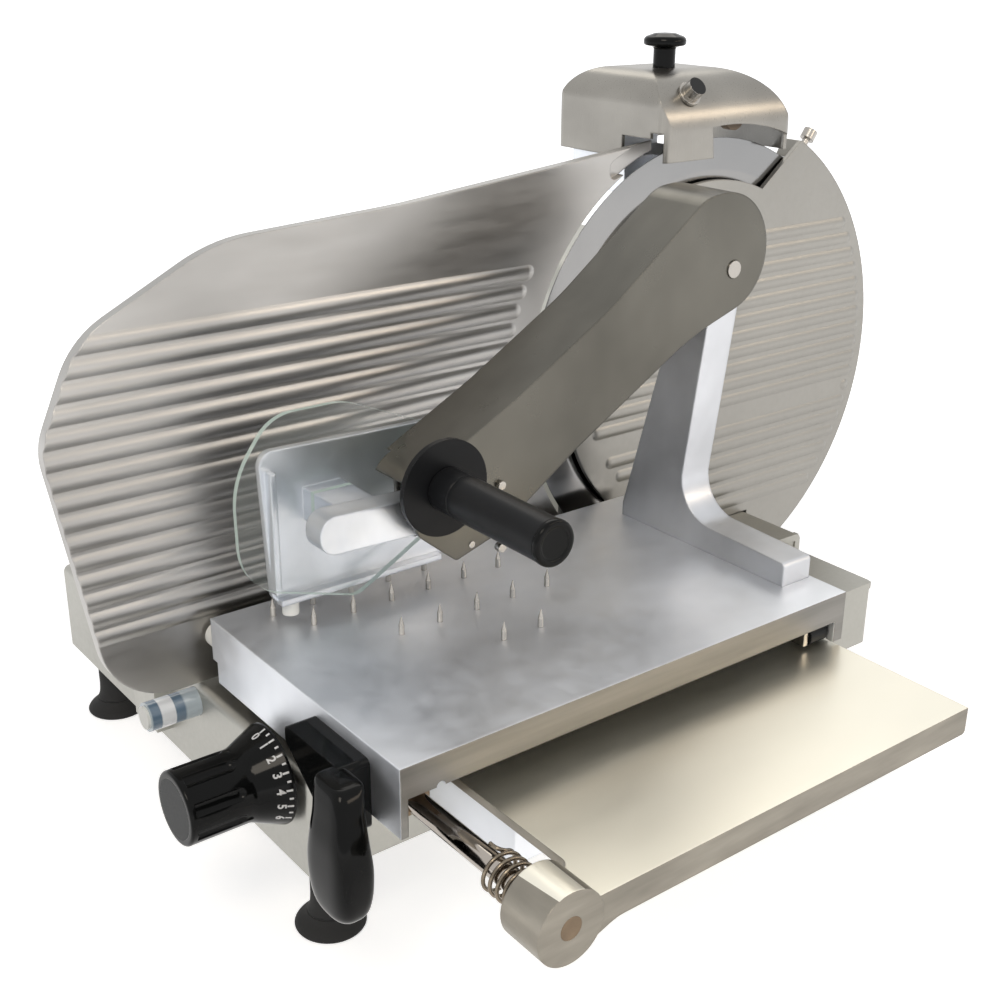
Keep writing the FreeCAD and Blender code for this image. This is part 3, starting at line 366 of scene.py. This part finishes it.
def banded_switch(colours):
    """Polycarbonate barrel with blue-grey, white and pale bands square to its axis."""
    material, tree, shader = blank("banded_polycarbonate")
    place = add(tree, "TexCoord").outputs["Object"]
    along = add(tree, "SeparateXYZ", {"Vector": place}).outputs[0]
    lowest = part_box("switch_barrel")[0][0]
    level = add(tree, "MapRange", {"Value": along, "From Min": lowest, "From Max": lowest + SWITCH_LONG})
    stripes = add(tree, "ValToRGB", {"Fac": level.outputs[0]})
    ramp = stripes.color_ramp
    for end in ramp.elements:
        end.color = linear(colours.pale_band)
    for spot, tint in SWITCH_BANDS:
        ramp.elements.new(spot).color = linear(getattr(colours, tint))
    tree.links.new(stripes.outputs[0], shader.inputs["Base Color"])
    shader.inputs["Roughness"].default_value = 0.15
    shader.inputs["Coat Weight"].default_value = 0.6
    return material


def finishes():
    """Every material by name, made once from the colours of the scene."""
    made = bpy.data.materials
    if "cast_gauge" in made:
        return made
    c = bpy.context.scene.slicer_colours
    # A metal's numbers are its roughness, cloud size, spread of tone, grain size, grain depth and, where it
    # isn't the usual one, edge radius. A plastic's are its roughness, grain size and grain depth.

    # Cast aluminium, ground and buffed: a soft sheen that drifts over 160 mm, with buffing waves along X.
    metal("cast_gauge", c.gauge, 0.37, (160, 90, 90), 0.13, (60, 9, 9), 0.001, edge=1.5)
    # Cast aluminium, buffed by hand: the darkest casting, with broad clouds and full, worn edges.
    metal("cast_arm", c.arm, 0.30, (90, 60, 120), 0.20, (30, 30, 30), 0.001, edge=2.0)
    # Cast aluminium, buffed: bright and satin, and faintly rippled by the wheel over 14 mm.
    metal("cast_post", c.post, 0.40, (60, 60, 90), 0.12, (14, 14, 14), 0.002, edge=2.2)
    # Cast aluminium, buffed to a dull satin: a pale glow without clear reflections.
    metal("cast_table", c.table, 0.48, (120, 90, 90), 0.12, (18, 18, 18), 0.002, edge=1.5)
    # Cast aluminium, buffed inside and out: bright, with clouds 40 mm across.
    metal("cast_tray", c.tray, 0.35, (40, 40, 60), 0.12, (14, 14, 14), 0.002, edge=2.0)
    # Anodised aluminium: even and matt, so that cover and ring stay calm beside the buffed castings.
    metal("anodised_cover", c.cover, 0.40, (140, 80, 140), 0.05, (5, 5, 5), 0.002, edge=1.5)
    # Polished aluminium plate: soft reflections that slow waves 40 mm wide bend.
    metal("polished_plate", c.plate, 0.36, (240, 120, 60), 0.05, (120, 40, 40), 0.012)
    # Milled aluminium edge: cutter marks 2 mm wide along X, and a darker tone that is painted shade on the
    # sides.
    metal("milled_and_shaded_edge", c.edge, 0.36, (60, 60, 12), 0.18, (30, 2, 2), 0.002)
    # Ground aluminium skirt: marks 2 mm wide along X, and a tone darker than the top that is painted shade.
    metal("ground_and_shaded_apron", c.apron, 0.42, (160, 60, 12), 0.14, (30, 2, 2), 0.001, edge=1.5)
    # Aluminium brushed up and down: upright streaks, drawn 0.6 mm wide so that they show.
    metal("brushed_hood", c.brushed, 0.30, (60, 60, 40), 0.10, (0.6, 0.6, 40), 0.003, edge=2.0)
    # Anodised aluminium extrusion: even and satin, with a ripple that hardly shows.
    metal("anodised_base", c.base, 0.45, (150, 150, 80), 0.05, (4, 4, 4), 0.002)
    # Turned steel: small bright highlights broken by a fine grain, drawn 0.5 mm wide so that it shows.
    metal("turned_steel", c.steel, 0.24, (40, 40, 40), 0.10, (0.5, 2.0, 0.5), 0.003)
    # Drawn spring wire, oil tempered: brown-grey and shiny, with a tone that changes from turn to turn.
    metal("spring_steel", c.spring, 0.20, (9, 9, 9), 0.20, (2, 2, 2), 0.002)
    # Hard chrome on a ground rod: nearly a mirror, with faint polishing marks along it.
    metal("hard_chrome", c.chrome, 0.07, (60, 60, 60), 0.06, (0.4, 6.0, 0.4), 0.001)
    # Sintered bronze, soaked in oil: brown and dull, with open pores 0.6 mm across.
    metal("sintered_bronze", c.bronze, 0.45, (12, 12, 12), 0.15, (0.6, 0.6, 0.6), 0.01)
    # Ground blade steel: a clear sheen, with upright grinding marks drawn 0.6 mm wide so that they show.
    metal("ground_blade", c.blade, 0.18, (120, 120, 120), 0.08, (0.6, 0.6, 18), 0.001)
    # Compression moulded phenolic: deep black under a gloss that shows slight waviness.
    plastic("gloss_phenolic", c.gloss, 0.10, 14, 0.02, coat=0.08, shine=0.09)
    # Moulded nylon: black with a soft highlight and a mould grain of 2 mm.
    plastic("satin_nylon", c.satin, 0.32, 2.0, 0.004, shine=0.14)
    # Moulded ABS: charcoal and matt, so the dial's cap stands off its gloss.
    plastic("grey_moulding", c.cap, 0.50, 1.0, 0.004, shine=0.25)
    # Blacked steel: a thin oxide, dark with a dull highlight, on the honing button's end.
    plastic("blacked_steel", c.gloss, 0.30, 1.0, 0.002, shine=0.3)
    # Moulded black rubber: soft and matt, nearly without highlights.
    plastic("black_rubber", c.rubber, 0.50, 1.5, 0.006, shine=0.2)
    # Turned white nylon: clean and slightly waxy under a thin gloss.
    plastic("white_nylon", c.nylon, 0.35, 1.5, 0.004, coat=0.2)
    # Vitrified abrasive: dry and rough, with grit 0.5 mm across.
    plastic("vitrified_stone", c.stone, 0.9, 0.5, 0.12)
    # Printed paint: flat white, with no grain to speak of.
    plastic("marking_paint", c.marking, 0.4, 1.0, 0.002)
    # Cast acrylic sheet: almost unseen through its faces, and pale green through its sawn edge.
    clear_acrylic("clear_acrylic", c.acrylic, 0.06)
    clear_acrylic("acrylic_edge", c.sawn, 0.85)
    # Moulded polycarbonate: coloured bands under a clear gloss.
    banded_switch(c)
    return made


# Pieces, each made or finished by its own operator

FINISH_OF_SLOT = {
    "cast_aluminium": "cast_table", "polished_aluminium": "polished_plate",
    "base_aluminium": "anodised_base", "blade_steel": "ground_blade", "bright_steel": "turned_steel",
    "chrome": "hard_chrome", "gloss_black": "gloss_phenolic", "satin_black": "satin_nylon",
    "cap_grey": "grey_moulding", "black_rubber": "black_rubber", "dark_roller": "satin_nylon",
    "white_nylon": "white_nylon", "bronze": "sintered_bronze", "gear_steel": "turned_steel",
    "clear_guard": "clear_acrylic", "stone": "vitrified_stone", "fine_stone": "vitrified_stone",
    "switch_clear": "banded_polycarbonate", "switch_grey": "white_nylon",
}
FINISH_OF_NODE = {
    "sharpener_hood": "brushed_hood", "gauge_plate": "cast_gauge", "press_arm": "cast_arm",
    "arm_post": "cast_post", "pusher_tray": "cast_tray", "blade_cover": "anodised_cover",
    "ring_guard": "anodised_cover", "bumper_spring": "spring_steel",
}
# Up, along the feed rod, and along the honing button.
UPRIGHT, ALONG_FEED, ALONG_BUTTON = (0, 0, 1), (0, 1, 0), (0, -0.788, 0.616)
# A second finish on the faces that lie square to a direction, or, where it says False, on all the others.
SECOND_FINISH = {
    "clear_guard": ("acrylic_edge", ALONG_FEED, False),
    "feed_rod": ("sintered_bronze", ALONG_FEED, True),
    # All faces of the slide plate but the flat ones take the darker finish: painted shade on sides and boss.
    "carriage_plate": ("milled_and_shaded_edge", UPRIGHT, False),
    # The table's faces square to Y take the darker finish: painted shade on its front and back.
    "meat_table": ("ground_and_shaded_apron", ALONG_FEED, True),
    "honing_button": ("blacked_steel", ALONG_BUTTON, True),
}
# Cosine of the angle up to which a face counts as square to the direction.
SQUARE_ENOUGH = 0.9


class SlicerOperator(bpy.types.Operator):
    """Shared by the operators that make pieces."""
    bl_options = {"REGISTER", "UNDO"}


class SLICER_OT_finishes(SlicerOperator):
    """Give every metal, plastic and rubber part of the frame its finish"""
    bl_idname = "slicer.finishes"
    bl_label = "Finish the parts"

    def execute(self, context):
        made = finishes()
        slots = {entry["node"]: entry["material_slot"] for entry in frame["record"]["subparts"]}
        for name, obj in frame["nodes"].items():
            finish = FINISH_OF_NODE.get(name, FINISH_OF_SLOT[slots[name]])
            obj.data.materials.clear()
            obj.data.materials.append(made[finish])
        for name, (finish, direction, square) in SECOND_FINISH.items():
            mesh = frame["nodes"][name].data
            mesh.materials.append(made[finish])
            normals = np.empty(len(mesh.polygons) * 3)
            mesh.polygons.foreach_get("normal", normals)
            flat = np.abs(normals.reshape(-1, 3) @ np.array(direction)) > SQUARE_ENOUGH
            mesh.polygons.foreach_set("material_index", (flat == square).astype(np.int32))
        return {"FINISHED"}


class SLICER_OT_grip(SlicerOperator):
    """Turn the press arm's grip with its rounded end and inset cap"""
    bl_idname = "slicer.grip"
    bl_label = "Press grip"

    def execute(self, context):
        sizes = context.scene.slicer_sizes
        made = finishes()
        low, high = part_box("press_grip")
        long = (high[1] - low[1]) / MM
        radius = sizes.grip_radius / MM
        middle = np.array([(low[0] + high[0]) / 2, low[1], (low[2] + high[2]) / 2])
        end = sizes.grip_end_round / MM
        split = sizes.grip_cap / MM
        # Both profiles run from the free end toward the arm and are carried round the grip's axis.
        seam, swell, neck, collar = split + 0.2, split + 8, long - 22, long - 18
        sleeve = rounded_profile([(seam, CORE), (seam, radius - 0.2, 0.4), (swell, radius - 0.5, 4),
                                  (neck, radius - 0.1, 4), (collar, radius - 0.5, 1.5),
                                  (long - 1, radius - 0.1, 1), (long, radius - 1.0, 0.5), (long, CORE)])
        rings = turned(sleeve, middle, (0, 1, 0), sizes.around)
        obj = smooth_mesh("press_grip_sleeve", *skin(rings), "satin_black", "grip", made["satin_nylon"])
        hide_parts("press_grip")
        face, dish, rim = 0.2, 1.0, radius - 3.6
        cap = rounded_profile([(dish, CORE), (dish, rim - 0.9, 1.0), (face, rim, 0.8), (face, radius, end),
                               (split, radius, 0.4), (split, CORE)])
        rings = turned(cap, middle, (0, 1, 0), sizes.around)
        smooth_mesh("press_grip_cap", *skin(rings), "satin_black", "grip", made["gloss_phenolic"])
        return {"FINISHED"}


# From the box of all four feet to a foot's axis, in millimetres.
FOOT_REACH = 24.0


class SLICER_OT_feet(SlicerOperator):
    """Mould the four rubber feet with their suction lips"""
    bl_idname = "slicer.feet"
    bl_label = "Rubber feet"

    def execute(self, context):
        sizes = context.scene.slicer_sizes
        made = finishes()
        low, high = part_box("rubber_feet")
        lip, stem = sizes.foot_lip / MM, sizes.foot_stem / MM
        tall = high[2] / MM
        groove = stem - 1.2
        # The profile runs up from the worktop: lip, flare, stem, groove and collar, carried round Z.
        profile = rounded_profile([(0.2, CORE), (0.2, lip - 4), (0.0, lip - 1), (1.4, lip, 1),
                                   (4.5, lip - 2, 2), (9, lip - 7.5, 3), (15, stem + 0.6, 4),
                                   (24, stem), (tall - 9, stem), (tall - 8, groove, 0.6),
                                   (tall - 6, groove, 0.6), (tall - 5, stem + 0.3, 0.5),
                                   (tall, stem + 0.4), (tall, CORE)])
        reach = FOOT_REACH * MM
        parts = []
        for x in (low[0] + reach, high[0] - reach):
            for y in (low[1] + reach, high[1] - reach):
                parts.append(skin(turned(profile, np.array([x, y, 0.0]), (0, 0, 1), sizes.around)))
        obj = smooth_mesh("suction_feet", *several(parts), "black_rubber", "base", made["black_rubber"])
        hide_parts("rubber_feet")
        return {"FINISHED"}


# Stations down the carriage handle, in the drawing's millimetres: height, middle x and middle y, then half
# the thickness and half the width as shares of the whole, and the squareness of the ring.
HANDLE_STATIONS = np.array([
    [-106.3, -476.0, -212.0, 0.24, 0.24, 4.0],
    [-107.6, -477.0, -213.0, 0.36, 0.32, 4.6],
    [-114.0, -479.5, -216.0, 0.38, 0.35, 4.6],
    [-124.0, -481.5, -219.0, 0.40, 0.37, 4.6],
    [-136.0, -483.0, -221.0, 0.44, 0.43, 4.4],
    [-150.0, -483.0, -221.0, 0.48, 0.49, 4.2],
    [-163.0, -483.0, -221.0, 0.49, 0.495, 3.8],
    [-174.0, -483.0, -221.0, 0.47, 0.47, 3.2],
    [-181.0, -483.0, -221.0, 0.42, 0.41, 2.8],
    [-185.4, -483.0, -221.0, 0.30, 0.29, 2.6],
    [-186.8, -483.0, -221.0, 0.12, 0.11, 2.4],
])
HANDLE_RINGS, HANDLE_AROUND = 90, 72


class SLICER_OT_handle(SlicerOperator):
    """Sculpt the carriage handle: superellipse rings carried down a smooth curve through its stations"""
    bl_idname = "slicer.handle"
    bl_label = "Carriage handle"

    def execute(self, context):
        sizes = context.scene.slicer_sizes
        made = finishes()
        stations = HANDLE_STATIONS * [1, 1, 1, sizes.handle_thick / MM, sizes.handle_wide / MM, 1]
        rings = superellipse_rings(smooth_stations(stations, HANDLE_RINGS), HANDLE_AROUND)
        # The stations run down and the rings up, so that the faces point outwards.
        rings = (rings[::-1] + SHIFT) * MM
        obj = smooth_mesh("handle_grip", *skin(rings), "gloss_black", "table", made["gloss_phenolic"])
        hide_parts("carriage_handle")
        return {"FINISHED"}


# The dial in the drawing's millimetres: its axis, and its flare, which is a cone given by x and radius at
# the narrow and at the wide end.
DIAL_Y, DIAL_Z = -109.0, -162.0
FLARE_NARROW = np.array([-487.0, 23.5])
FLARE_WIDE = np.array([-466.5, 32.5])
NUMBERS = 7
# Marks: length at a number and between two, the way from the wide end, and the flare's radius there.
LONG_MARK, SHORT_MARK, MARK_START, MARK_RADIUS = 4.0, 2.6, 0.5, 31.0
# How deep a mark sinks into the flare, and how far marks and numbers stand proud of it.
MARK_SINK, MARK_PROUD, NUMBER_PROUD = 0.2, 0.12, 0.02
# Numbers: the way from the wide end to their middle, and the flare's radius there.
NUMBER_MIDDLE, NUMBER_RADIUS = 7.9, 29.0
# Text size over a number's height, and in metres how far its strokes are widened and thickened.
TEXT_SHARE, STROKE_WIDER, STROKE_THICKER = 1.35, 0.00022, 0.00012
# Corners of a mark: 0 or 1 along it, -1 or 1 across it, the four lower ones first, and its six sides.
MARK_ALONG = np.array([0, 1, 1, 0, 0, 1, 1, 0])
MARK_ACROSS = np.array([-1, -1, 1, 1, -1, -1, 1, 1])
MARK_SIDES = [[0, 1, 2, 3], [7, 6, 5, 4], [0, 4, 5, 1], [1, 5, 6, 2], [2, 6, 7, 3], [3, 7, 4, 0]]


def on_flare(along, degrees, lift):
    """Points on the dial's flare: x and radius of the wide end, less the way along the cone, plus the lift
    square to it; y and z are the axis plus the radius times the angle's cosine and sine."""
    slope = (FLARE_WIDE - FLARE_NARROW) / np.linalg.norm(FLARE_WIDE - FLARE_NARROW)
    out = np.array([-slope[1], slope[0]])
    x = FLARE_WIDE[0] - slope[0] * along + out[0] * lift
    radius = FLARE_WIDE[1] - slope[1] * along + out[1] * lift
    angle = np.radians(degrees)
    spots = np.stack([x, DIAL_Y + np.cos(angle) * radius, DIAL_Z + np.sin(angle) * radius], -1)
    return (spots + SHIFT) * MM


def number_mesh(context, digit, tall):
    """A number as a thin mesh in metres, lying flat round its own middle."""
    curve = bpy.data.curves.new(f"dial_number_{digit}", "FONT")
    curve.body = str(digit)
    curve.size = tall * TEXT_SHARE
    curve.align_x = "CENTER"
    curve.align_y = "CENTER"
    curve.offset = STROKE_WIDER
    curve.extrude = STROKE_THICKER
    curve.resolution_u = 4
    holder = bpy.data.objects.new("number", curve)
    context.scene.collection.objects.link(holder)
    context.view_layer.update()
    mesh = bpy.data.meshes.new_from_object(holder.evaluated_get(context.evaluated_depsgraph_get()))
    bpy.data.objects.remove(holder)
    return mesh


class SLICER_OT_dial(SlicerOperator):
    """Print the numbers and marks on the dial's flared ring"""
    bl_idname = "slicer.dial"
    bl_label = "Dial marks"

    def execute(self, context):
        sizes = context.scene.slicer_sizes
        made = finishes()
        first, step = math.degrees(sizes.first_mark), math.degrees(sizes.mark_step)
        mark = np.arange(2 * NUMBERS - 1)[:, None]
        tall = np.where(mark % 2 == 0, LONG_MARK, SHORT_MARK)
        half = math.degrees(sizes.tick_wide / MM / 2 / MARK_RADIUS)
        lift = np.array([-MARK_SINK] * 4 + [MARK_PROUD] * 4) + 0 * tall
        spots = on_flare(MARK_START + tall * MARK_ALONG, first + mark * step / 2 + half * MARK_ACROSS, lift)
        boxes = [(corners, MARK_SIDES) for corners in spots]
        smooth_mesh("dial_marks", *several(boxes), "gloss_black", "dial", made["marking_paint"], flat=True)
        for digit in range(NUMBERS):
            mesh = number_mesh(context, digit, sizes.digit_tall)
            spots = np.empty(len(mesh.vertices) * 3)
            mesh.vertices.foreach_get("co", spots)
            x, y, z = spots.reshape(-1, 3).T / MM
            placed = on_flare(NUMBER_MIDDLE - y, first + digit * step + np.degrees(x / NUMBER_RADIUS),
                              z + NUMBER_PROUD)
            mesh.vertices.foreach_set("co", placed.ravel())
            mesh.update()
            mesh.materials.clear()
            mesh.materials.append(made["marking_paint"])
            obj = bpy.data.objects.new(f"dial_number_{digit}", mesh)
            context.scene.collection.objects.link(obj)
            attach(obj, "dial")
        return {"FINISHED"}


# Heads on the arm's front, in the drawing's millimetres: x, z, radius and height of each, and the front's y.
ARM_HEADS = ((-325, -38, 2.4, 0.8), (-303, -45, 3.2, 4.0), (-303, -2.5, 3.0, 3.0))
ARM_FRONT = -128
# How far a head's shank reaches into the arm, and the rounding of its rim.
HEAD_SHANK, HEAD_ROUND = 1, 0.5


class SLICER_OT_small_parts(SlicerOperator):
    """Turn the arm's pins and screw heads"""
    bl_idname = "slicer.small_parts"
    bl_label = "Pins and screws"

    def execute(self, context):
        made = finishes()
        count = context.scene.slicer_sizes.around // 2
        heads = []
        for x, z, radius, tall in ARM_HEADS:
            # A plain cylinder with a rounded rim, carried round the axis that points out of the arm.
            profile = rounded_profile([(-HEAD_SHANK, CORE), (-HEAD_SHANK, radius),
                                       (tall, radius, HEAD_ROUND), (tall, CORE)])
            heads.append(skin(turned(profile, at(x, ARM_FRONT, z), (0, -1, 0), count)))
        smooth_mesh("arm_screws", *several(heads), "bright_steel", "arm", made["turned_steel"])
        return {"FINISHED"}


# Stage, in metres and degrees

# Sides of the floor's disc, and how far it lies under the feet.
FLOOR_STEPS, FLOOR_DROP = 96, 0.0002
# The floor glows at the first strength within the first distance and at full white past the second.
GLOW, GLOW_AWAY = (0.58, 1.0), (0.5, 1.5)
ROOM_STRENGTH = 0.62
# Name, place, aim, width and height, watts, and tint of each lamp.
LAMPS = (
    ("key", (-1.6, -1.3, 2.4), (0, 0, 0.2), (1.2, 0.9), 26, "#FFF4E4"),
    ("fill", (1.15, -1.6, 1.1), (0, 0, 0.3), (1.6, 0.25), 7, "#FFEBD2"),
    ("back", (1.1, 1.4, 2.2), (0, -0.1, 0.2), (1.8, 0.9), 8, "#FFFAF0"),
)
CAMERA_PLACE = (-0.6295, -0.7252, 0.5962)
# The camera looks this far round from Y toward X, this far down, and is rolled this much.
CAMERA_ROUND, CAMERA_DOWN, CAMERA_ROLL = 37.8, 22.0, 0.52
# Lens and sensor width in millimetres, how far the camera sees, and its shift as shares of the frame.
CAMERA_LENS, CAMERA_SENSOR, CAMERA_REACH = 49.9, 36, 200
CAMERA_SHIFT = (-0.003, -0.001)


def background_rays(tree):
    """1 for the rays that show the background: from the camera, off metal and through glass."""
    seen = add(tree, "LightPath")
    either = add(tree, "Math", {0: seen.outputs["Is Camera Ray"], 1: seen.outputs["Is Glossy Ray"]},
                 operation="MAXIMUM")
    return add(tree, "Math", {0: either.outputs[0], 1: seen.outputs["Is Transmission Ray"]},
               operation="MAXIMUM").outputs[0]


def lay_floor(scene):
    """A disc just under the feet: points at the radius times the cosine and sine of even angles."""
    radius = scene.slicer_sizes.floor_radius
    angle = np.linspace(0, 2 * math.pi, FLOOR_STEPS, endpoint=False)
    rim = np.stack([radius * np.cos(angle), radius * np.sin(angle), 0 * angle - FLOOR_DROP], 1)
    mesh = bpy.data.meshes.new("floor")
    mesh.from_pydata(rim.tolist(), [], [list(range(FLOOR_STEPS))])
    floor = bpy.data.objects.new("floor", mesh)
    scene.collection.objects.link(floor)
    # Matt white paper: it takes the shadow, and shows white where it lies away from the machine.
    material, tree, shader = blank("pale_floor")
    shader.inputs["Base Color"].default_value = linear(scene.slicer_colours.floor)
    shader.inputs["Roughness"].default_value = 0.9
    away = add(tree, "VectorMath", {0: add(tree, "TexCoord").outputs["Object"]}, operation="LENGTH")
    level = add(tree, "MapRange", {"Value": away.outputs["Value"], "From Min": GLOW_AWAY[0],
                                   "From Max": GLOW_AWAY[1], "To Min": GLOW[0], "To Max": GLOW[1]})
    glow = add(tree, "Math", {0: background_rays(tree), 1: level.outputs[0]}, operation="MULTIPLY")
    shader.inputs["Emission Color"].default_value = (1, 1, 1, 1)
    tree.links.new(glow.outputs[0], shader.inputs["Emission Strength"])
    mesh.materials.append(material)


def light_room(scene):
    """A world that lights the machine from all round and shows as plain white, and three soft lamps."""
    world = bpy.data.worlds.new("studio")
    scene.world = world
    world.use_nodes = True
    tree = world.node_tree
    tree.nodes.clear()
    out = add(tree, "OutputWorld")
    room = add(tree, "Background", {"Color": linear(scene.slicer_colours.room), "Strength": ROOM_STRENGTH})
    white = add(tree, "Background", {"Color": (1, 1, 1, 1), "Strength": 1.0})
    mix = add(tree, "MixShader", {0: background_rays(tree), 1: room.outputs[0], 2: white.outputs[0]})
    tree.links.new(mix.outputs[0], out.inputs[0])
    for name, place, aim, size, power, tint in LAMPS:
        lamp = bpy.data.lights.new(name, "AREA")
        lamp.shape = "RECTANGLE"
        lamp.size, lamp.size_y = size
        lamp.energy = power
        lamp.color = linear(tint)[:3]
        obj = bpy.data.objects.new(name, lamp)
        obj.location = place
        obj.rotation_mode = "QUATERNION"
        obj.rotation_quaternion = (Vector(aim) - Vector(place)).to_track_quat("-Z", "Y")
        scene.collection.objects.link(obj)


def place_camera(scene):
    """The camera at the photograph's place, angle and framing."""
    camera = bpy.data.cameras.new("camera")
    camera.lens = CAMERA_LENS
    camera.sensor_width = CAMERA_SENSOR
    camera.sensor_fit = "HORIZONTAL"
    camera.shift_x, camera.shift_y = CAMERA_SHIFT
    camera.clip_end = CAMERA_REACH
    holder = bpy.data.objects.new("camera", camera)
    azimuth, down, roll = map(math.radians, (CAMERA_ROUND, CAMERA_DOWN, CAMERA_ROLL))
    toward = Vector((math.sin(azimuth) * math.cos(down), math.cos(azimuth) * math.cos(down),
                     -math.sin(down)))
    holder.location = CAMERA_PLACE
    holder.rotation_mode = "QUATERNION"
    holder.rotation_quaternion = toward.to_track_quat("-Z", "Y") @ Quaternion((0, 0, 1), roll)
    scene.collection.objects.link(holder)
    scene.camera = holder


class SLICER_OT_stage(SlicerOperator):
    """Lay the pale floor and place the lights and the camera"""
    bl_idname = "slicer.stage"
    bl_label = "Stage"

    def execute(self, context):
        lay_floor(context.scene)
        light_room(context.scene)
        place_camera(context.scene)
        context.scene.view_settings.view_transform = "Standard"
        return {"FINISHED"}


# Panel, registration and run

class SLICER_PT_panel(bpy.types.Panel):
    """Lists the sizes, the colours and the operators"""
    bl_idname = "SLICER_PT_panel"
    bl_label = "Slicing machine"
    bl_space_type = "VIEW_3D"
    bl_region_type = "UI"
    bl_category = "Slicer"

    def draw(self, context):
        layout = self.layout
        for group in (context.scene.slicer_sizes, context.scene.slicer_colours):
            box = layout.box()
            for key in group.__annotations__:
                box.prop(group, key)
        for operator in OPERATORS:
            layout.operator(operator.bl_idname)


OPERATORS = (SLICER_OT_finishes, SLICER_OT_grip, SLICER_OT_feet, SLICER_OT_handle, SLICER_OT_dial,
             SLICER_OT_small_parts, SLICER_OT_stage)
CLASSES = (SlicerSizes, SlicerColours, *OPERATORS, SLICER_PT_panel)


def register():
    """Register the classes and hang the two groups on the scene."""
    for item in CLASSES:
        bpy.utils.register_class(item)
    bpy.types.Scene.slicer_sizes = PointerProperty(type=SlicerSizes)
    bpy.types.Scene.slicer_colours = PointerProperty(type=SlicerColours)


def unregister():
    """Take the groups and classes away again."""
    del bpy.types.Scene.slicer_colours
    del bpy.types.Scene.slicer_sizes
    for item in reversed(CLASSES):
        bpy.utils.unregister_class(item)


def main():
    """Make every piece and the stage."""
    register()
    for operator in OPERATORS:
        group, name = operator.bl_idname.split(".")
        getattr(getattr(bpy.ops, group), name)()


if __name__ == "__main__":
    main()
